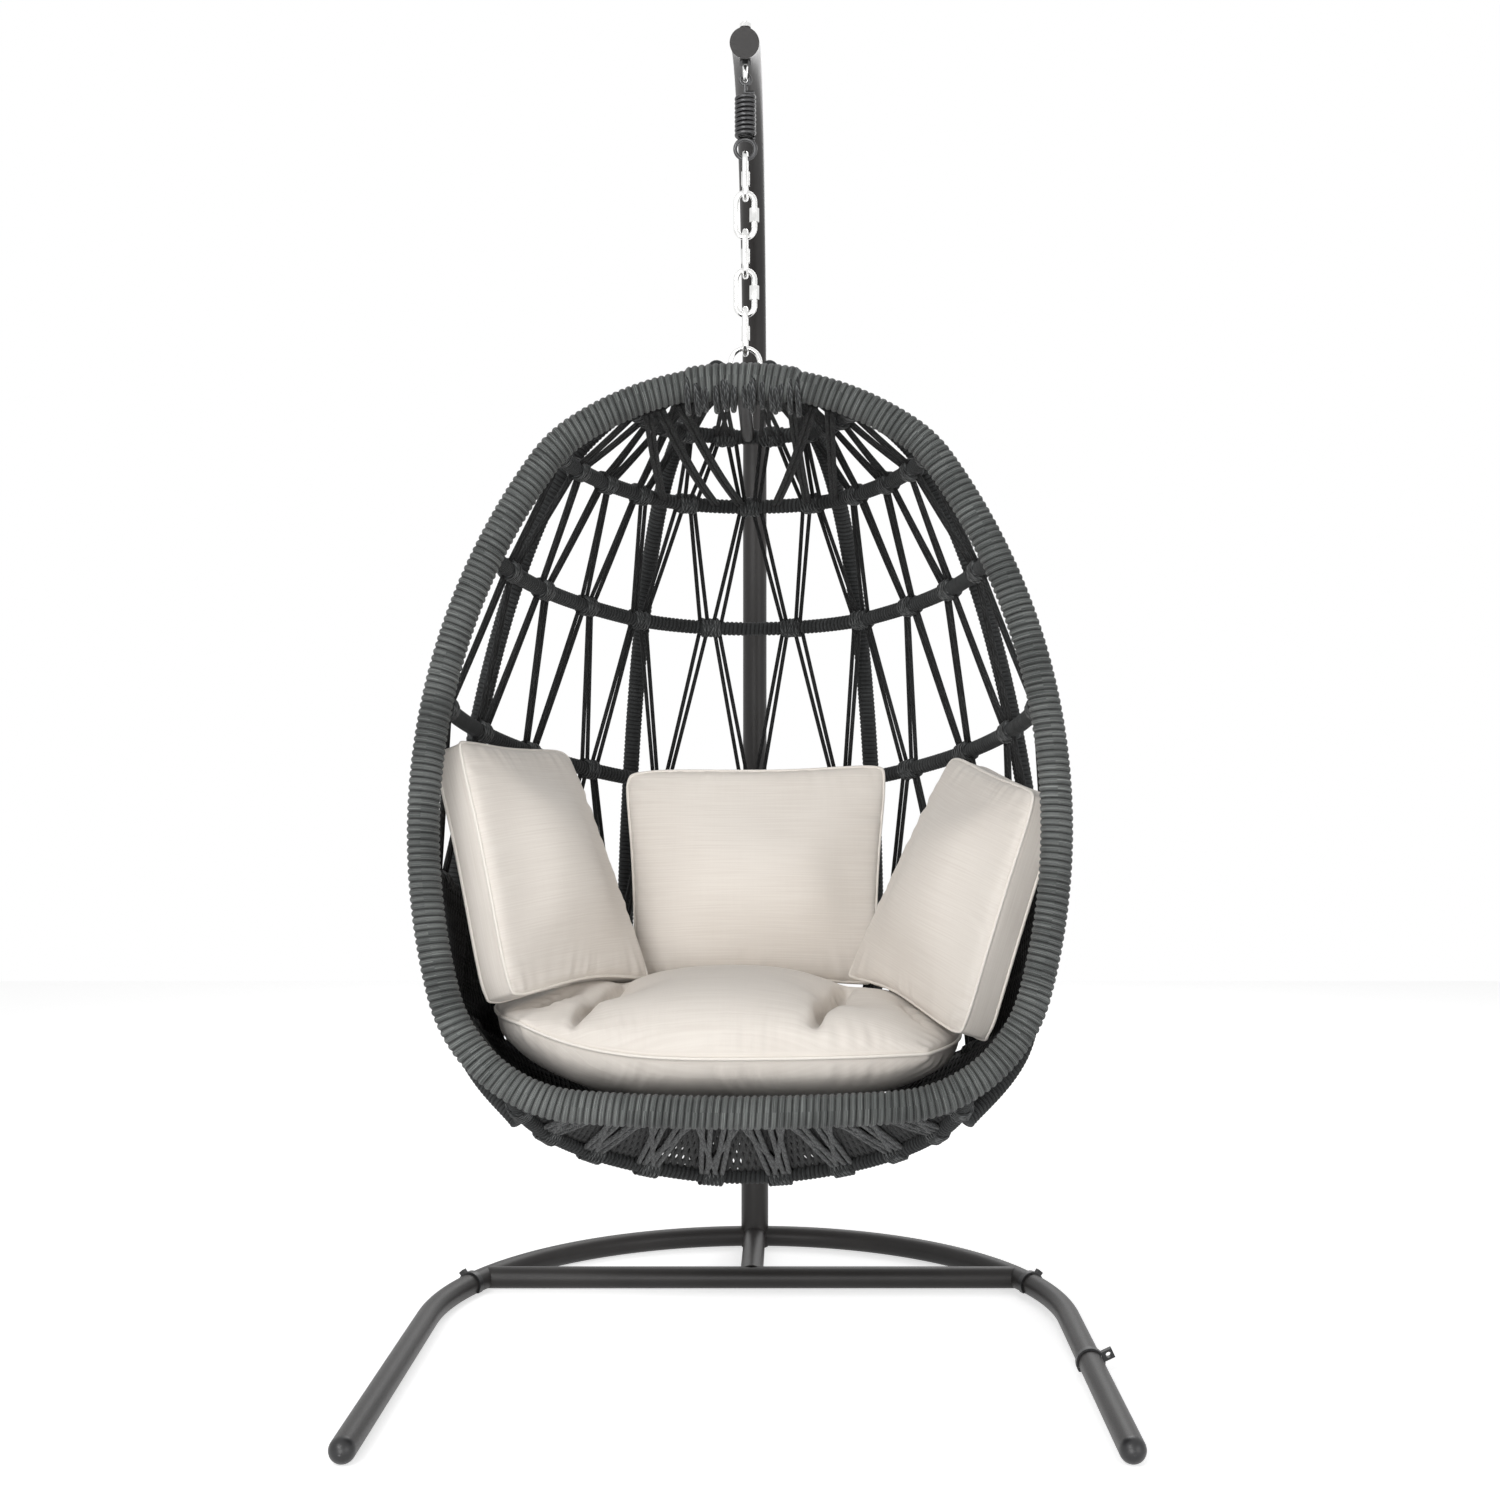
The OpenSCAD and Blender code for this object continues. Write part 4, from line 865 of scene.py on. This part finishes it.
def to_crease(x, y, start, end):
    """Distance from x, y to a crease, and the share of its length passed there."""
    ax, ay = start
    bx, by = end[0] - ax, end[1] - ay
    t = np.clip(((x - ax) * bx + (y - ay) * by) / (bx * bx + by * by), 0, 1)
    return np.hypot(x - ax - t * bx, y - ay - t * by), t


def valley(x, y, start, end, depth, width):
    """How deep a crease pulls the seat there: V-shaped across, deepest halfway along."""
    far, t = to_crease(x, y, start, end)
    return depth * np.exp(-far / width) * (0.55 + 0.45 * np.sin(math.pi * (0.15 + 0.7 * t)))


def pulled_folds(form):
    """The seat's sharp creases and the small folds that fan out from them, as a height."""
    x, y = form.verts[:form.m, 0], form.verts[:form.m, 1]
    height = np.zeros(len(form.verts))
    for i, (start, end, depth, _) in enumerate(CREASES):
        far, t = to_crease(x, y, start, end)
        middle = np.sin(math.pi * np.clip(t, 0.02, 0.98)) ** 0.5
        height[:form.m] -= FOLD_SHARE * depth * middle * np.exp(-far / FOLD_REACH)
        near = np.exp(-far / FAN_REACH) * np.minimum(1, far / FOLD_REACH)
        height[:form.m] += FAN_HEIGHT * np.sin(t * 21 + 2.1 * i + far / 9) * near
    return height


def on_creases(x, y):
    """Moves the nearest vertex of each grid line sideways onto each crease."""
    for (ax, ay), (bx, by), _, _ in CREASES:
        share = (y - ay) / (by - ay)
        off = x - ax - share * (bx - ax)
        nearest = np.argmin(np.abs(off), axis=0)
        lines = np.arange(x.shape[1])
        inside = (share[nearest, lines] > 0) & (share[nearest, lines] < 1)
        x[nearest[inside], lines[inside]] -= off[nearest[inside], lines[inside]]
    return x


def seat_form():
    """The seat: u to the right, v to the rear."""
    w, d, strip = SEAT["w"], SEAT["d"], SEAT["strip"]

    def outline(u, v):
        a = u * np.sqrt(1 - SEAT["round"] * v * v)
        b = v * np.sqrt(1 - SEAT["round"] * u * u)
        x = SEAT["side"] + a * (1 - SEAT["taper"] * np.maximum(0, b) ** 2) * w / 2
        y = SEAT["mid"] + b * d / 2
        return on_creases(x, y), y

    def crown(u, v):
        return (np.maximum(0, 1 - u * u) ** 0.85 * np.sqrt(np.maximum(0, 1 - v ** 4))
                * (1 - SEAT["fall"] * np.maximum(0, v) ** 1.5))

    def belly(u, v):
        return np.sqrt(np.maximum(0, (1 - u ** 4) * (1 - v ** 4)))

    def seam(u):
        return SEAT["welt"] + SEAT["curl"] * np.maximum(0, -u) ** 3

    def top(u, v, x, y):
        dips = sum(np.exp(-(((x - a) ** 2 + (y - b) ** 2) / SEAT["spread"] ** 2)) for a, b in TUFTS)
        pulled = SEAT["tuft"] * dips + sum(valley(x, y, *c) for c in CREASES)
        lobe = SIDE_LOBE * np.abs(u) ** 3
        lobe += REAR_LOBE * np.abs(u) * np.maximum(0, v) ** 1.5
        lobe += RIGHT_LOBE * np.maximum(0, u) ** 0.7 * np.maximum(0, v)
        return seam(u) + strip + crown(u, v) * (SEAT["crown"] * 0.96 + lobe - pulled)

    def bottom(u, v, x, y):
        return seam(u) - strip - belly(u, v) * (SEAT["drop"] - strip) * 1.1

    return Form(*SEAT_GRID, outline, top, bottom, 2)


def pillow_form(w, h, front, back, pinch, twist, nu, nv, ears=()):
    """A boxed pillow, lying in x and y, then stood up to face the front."""

    def outline(u, v):
        corner = 1 - PILLOW_CORNER * (u * v) ** 6
        x = u * corner * (1 - PILLOW_WAIST * (1 - v * v)) * (1 - pinch * (1 - v) / 2) * w / 2
        y = v * corner * (1 - PILLOW_WAIST * (1 - u * u)) * h / 2
        for su, sv, dx, dy in ears:
            near = np.maximum(0, su * u) ** 2 * np.maximum(0, sv * v) ** 3
            x, y = x + dx * near, y + dy * near
        return x, y

    def swell(u, v):
        return np.maximum(0, (1 - u * u) * (1 - v * v)) ** PILLOW_SWELL

    def top(u, v, x, y):
        return GUSSET / 2 + front * swell(u, v) - twist * u * v

    def bottom(u, v, x, y):
        return -GUSSET / 2 - 0.85 * back * swell(u, v) - twist * u * v

    form = Form(nu, nv, outline, top, bottom, 6)
    form.verts = form.verts[:, [0, 2, 1]] * [1, -1, 1]
    form.flip()
    return form


def turned(points, yaw, lean, at, roll=0, mirror=1):
    """Leans about X, rolls about Y, turns about Z, then moves, as the solids do."""
    turn = Euler((math.radians(-lean), math.radians(-roll), math.radians(yaw))).to_matrix()
    return (points @ np.array(turn).T + at) * [mirror, 1, 1]


def stuffed(obj, seams, tufts, cap=0.02, pressure=4.0, growth=0.035):
    """Blows the form up as cloth, with its seams and tufts held. The movement is evened
    out, and scaled down if it is more than cap anywhere."""
    scene = bpy.context.scene
    count = len(obj.data.vertices)
    before = np.zeros(count * 3, np.float32)
    obj.data.vertices.foreach_get("co", before)
    group = obj.vertex_groups.new(name="sewn")
    group.add([int(i) for i in seams], 1.0, "REPLACE")
    if len(tufts):
        group.add([int(i) for i in tufts], 1.0, "REPLACE")
    cloth = obj.modifiers.new("cloth", "CLOTH")
    settings = cloth.settings
    settings.vertex_group_mass = "sewn"
    settings.pin_stiffness = 1.0
    settings.use_pressure = True
    settings.uniform_pressure_force = pressure
    settings.effector_weights.gravity = 0
    settings.quality = 6
    settings.tension_stiffness = 15
    settings.compression_stiffness = 15
    settings.bending_stiffness = 0.3
    settings.shrink_min = -growth
    cloth.point_cache.frame_end = CLOTH_FRAMES + 2
    for f in range(1, CLOTH_FRAMES + 1):
        scene.frame_set(f)
    deps = bpy.context.evaluated_depsgraph_get()
    shape = obj.evaluated_get(deps)
    after = np.zeros(count * 3, np.float32)
    shape.to_mesh().vertices.foreach_get("co", after)
    shape.to_mesh_clear()
    move = spread_out(obj, (after - before).reshape(-1, 3), seams, SPREAD_ROUNDS)
    move *= min(1, cap / max(np.linalg.norm(move, axis=1).max(), 1e-9))
    obj.modifiers.clear()
    obj.vertex_groups.clear()
    obj.data.vertices.foreach_set("co", before + move.ravel())
    scene.frame_set(1)


def spread_out(obj, move, seams, rounds):
    """Evens out a movement over neighbours, so that only the broad shape stays."""
    edges = np.zeros(len(obj.data.edges) * 2, np.int32)
    obj.data.edges.foreach_get("vertices", edges)
    a, b = edges.reshape(-1, 2).T
    degree = np.bincount(np.append(a, b), minlength=len(move))[:, None]
    held = move[seams].copy()
    for _ in range(rounds):
        total = np.zeros_like(move)
        np.add.at(total, a, move[b])
        np.add.at(total, b, move[a])
        move = 0.5 * move + 0.5 * total / degree
        move[seams] = held
    return move


def applied(obj):
    """Applies every modifier."""
    deps = bpy.context.evaluated_depsgraph_get()
    mesh = bpy.data.meshes.new_from_object(obj.evaluated_get(deps))
    obj.modifiers.clear()
    old = obj.data
    obj.data = mesh
    bpy.data.meshes.remove(old)


def coords(obj):
    co = np.zeros(len(obj.data.vertices) * 3, np.float32)
    obj.data.vertices.foreach_get("co", co)
    return co.reshape(-1, 3)


def normals(obj):
    out = np.zeros(len(obj.data.vertices) * 3, np.float32)
    obj.data.vertex_normals.foreach_get("vector", out)
    return out.reshape(-1, 3)


def cushion(name, node, form, place, welts, tufts=(), folds=None):
    """A stuffed piece with its welts, in place of a CAD cushion.
    welts: which of the form's loops carry one; tufts: vertices held; folds: a height."""
    obj = new_object(name, place(form.verts) * MM, form.faces.tolist(), LINEN)
    obj.data.uv_layers.new(name="cloth").data.foreach_set("uv", form.uv.ravel())
    seams = np.concatenate([form.loops[i] for i in welts])
    stuffed(obj, seams, tufts)
    co, out = coords(obj), normals(obj)
    height = form.pucker(*PUCKER)
    if folds is not None:
        height += folds
    co += out * (height * MM)[:, None]
    obj.data.vertices.foreach_set("co", co.ravel())
    ropes = Tubes()
    for i in welts:
        line = (co[form.loops[i]] + out[form.loops[i]] * PIPING_R * MM * 0.5) / MM
        line = (line + 0.5 * (np.roll(line, 1, 0) + np.roll(line, -1, 0))) / 2
        ropes.add(line, PIPING_R, 10, True)
    smooth = obj.modifiers.new("smooth", "SUBSURF")
    smooth.levels = smooth.render_levels = 1
    applied(obj)
    obj.data.polygons.foreach_set("use_smooth", [True] * len(obj.data.polygons))
    put(obj, BASKET, "linen", node)
    # the piping takes the lighter linen copy, a painted highlight
    put(ropes.build(f"{name}_welt", WELT_LIT), BASKET, "linen")


def cushions():
    seat = seat_form()
    x, y = seat.verts[:seat.m, 0], seat.verts[:seat.m, 1]
    tufted = np.any([np.hypot(x - a, y - b) < TUFT_HELD for a, b in TUFTS], axis=0)
    seat.verts[:seat.m, 2] -= TUFT_SUNK * tufted
    creased = [to_crease(x, y, a, b)[0] < CREASE_HELD for a, b, _, _ in CREASES]
    held = tufted | np.any(creased, axis=0)
    cushion("seat_pad", "seat_cushion", seat, lambda p: p, (1,), np.flatnonzero(held),
            pulled_folds(seat))
    back = pillow_form(*BACK_SIZE, *BACK_GRID, BACK_EARS)
    cushion("pillow_back", "back_pillow", back, lambda p: turned(p, 0, BACK_LEAN, BACK_AT), (0, 6))
    left = pillow_form(*SIDE_SIZE, *SIDE_GRID, LEFT_EARS)
    cushion("pillow_left", "left_pillow", left,
            lambda p: turned(p, LEFT_YAW, SIDE_LEAN, LEFT_AT), (0, 6))
    right = pillow_form(*SIDE_SIZE, *SIDE_GRID, RIGHT_EARS)
    right.flip()
    cushion("pillow_right", "right_pillow", right,
            lambda p: turned(p, RIGHT_YAW, SIDE_LEAN, RIGHT_AT, RIGHT_ROLL, -1), (0, 6))


# ---------------------------------------------------------------- stage, light, camera

CAMERA_AT, LENS, SENSOR, SHIFT = (0.07, -2.8775, 0.885), 45.6, 36, -44 / 1500
FLOOR_HALF, FLOOR_GLOW = 4.4, 0.62
WORLD_LIGHT = 0.33            # strength of the white world on what isn't seen directly
# name, place, target, diameter in metres, power in watts
LAMPS = [("key", (-1.6, -3.3, 2.9), (0, -0.2, 0.9), 1.9, 67),
         ("fill", (2.6, -3.0, 1.1), (0, -0.2, 0.6), 2.4, 34),
         ("low", (-0.6, -3.4, 0.45), (0, -0.3, 0.5), 1.6, 45),
         ("back", (0.6, 3.2, 3.0), (0, 0, 1.0), 2.4, 40)]


def camera():
    """A level camera, shifted sideways as the photograph's frame is."""
    data = bpy.data.cameras.new("camera")
    obj = bpy.data.objects.new("camera", data)
    bpy.context.scene.collection.objects.link(obj)
    obj.location = CAMERA_AT
    obj.rotation_euler = (math.radians(90), 0, 0)
    data.sensor_width = SENSOR
    data.lens = LENS
    data.shift_x = SHIFT
    bpy.context.scene.camera = obj


def seen_directly(nodes, links):
    """1 for what the camera sees itself, in a gloss or through glass, and 0 for light."""
    path = nodes.new("ShaderNodeLightPath")
    seen = maths(nodes, links, "MAXIMUM", path.outputs["Is Camera Ray"],
                 path.outputs["Is Glossy Ray"])
    return maths(nodes, links, "MAXIMUM", seen, path.outputs["Is Transmission Ray"])


def floor():
    """A white floor that glows where it is seen, and lights the chair only by reflection."""
    mat, nodes, links, shader = material("floor")
    shader.inputs["Base Color"].default_value = (0.82, 0.82, 0.82, 1)
    shader.inputs["Roughness"].default_value = 0.9
    shader.inputs["Specular IOR Level"].default_value = 0.1
    glow = nodes.new("ShaderNodeEmission")
    glow.inputs["Strength"].default_value = FLOOR_GLOW
    add = nodes.new("ShaderNodeAddShader")
    mix = nodes.new("ShaderNodeMixShader")
    links.new(shader.outputs["BSDF"], add.inputs[0])
    links.new(glow.outputs["Emission"], add.inputs[1])
    links.new(seen_directly(nodes, links), mix.inputs["Fac"])
    links.new(shader.outputs["BSDF"], mix.inputs[1])
    links.new(add.outputs["Shader"], mix.inputs[2])
    links.new(mix.outputs["Shader"], nodes["Material Output"].inputs["Surface"])
    a = FLOOR_HALF
    verts = [(-a, -a, 0), (a, -a, 0), (a, a, 0), (-a, a, 0)]
    obj = new_object("floor", verts, [(0, 1, 2, 3)], mat, False)
    obj.location.z = -0.0005


def world():
    """White all round, at full strength where it is seen and lower as light."""
    scene = bpy.context.scene
    scene.world = bpy.data.worlds.new("world")
    scene.world.use_nodes = True
    nodes, links = scene.world.node_tree.nodes, scene.world.node_tree.links
    back = nodes["Background"]
    level = nodes.new("ShaderNodeMapRange")
    level.inputs["To Min"].default_value = WORLD_LIGHT
    level.inputs["To Max"].default_value = 1.0
    links.new(seen_directly(nodes, links), level.inputs["Value"])
    links.new(level.outputs["Result"], back.inputs["Strength"])
    back.inputs["Color"].default_value = (1, 1, 1, 1)


def lamp(name, place, target, size, power):
    data = bpy.data.lights.new(name, "AREA")
    data.shape = "DISK"
    data.size = size
    data.energy = power
    obj = bpy.data.objects.new(name, data)
    obj.location = place
    obj.rotation_euler = (Vector(target) - Vector(place)).to_track_quat("-Z", "Y").to_euler()
    bpy.context.scene.collection.objects.link(obj)


def studio():
    floor()
    world()
    for row in LAMPS:
        lamp(*row)


# ---------------------------------------------------------------- build

bpy.context.scene.view_settings.view_transform = "Standard"
camera()
dress_cad_nodes()
wound_rim()
crown_lashings()
crown_ties()
wound_hoops()
knots()
# the roof and the upper, middle and lower nets take the darker cord copy: painted shade inside the
# basket
net("rope_roof", [(0, ROOF_HUB, PAIR), (0, ROOF_HUB, CROSSED)], CORD_SHADED, "net_roof")
net("rope_upper", [(1, 0, PAIR), (2, 0, PAIR)], CORD_SHADED, "net_upper")
net("rope_middle", [(3, 0, PAIR), (4, 0, PAIR)], CORD_SHADED, "net_middle")
net("rope_lower", [(5, 0, PAIR), (5, 0, CROSSED), (6, 0, DENSE), (6, 0, DENSE_CROSSED)],
    CORD_SHADED, "net_lower")
net("rope_floor", [(7, 0, PAIR), (7, 0, SINGLE_CROSSED)], CORD, "net_floor", FULLER)
weave()
ribs()
spring()
cushions()
studio()
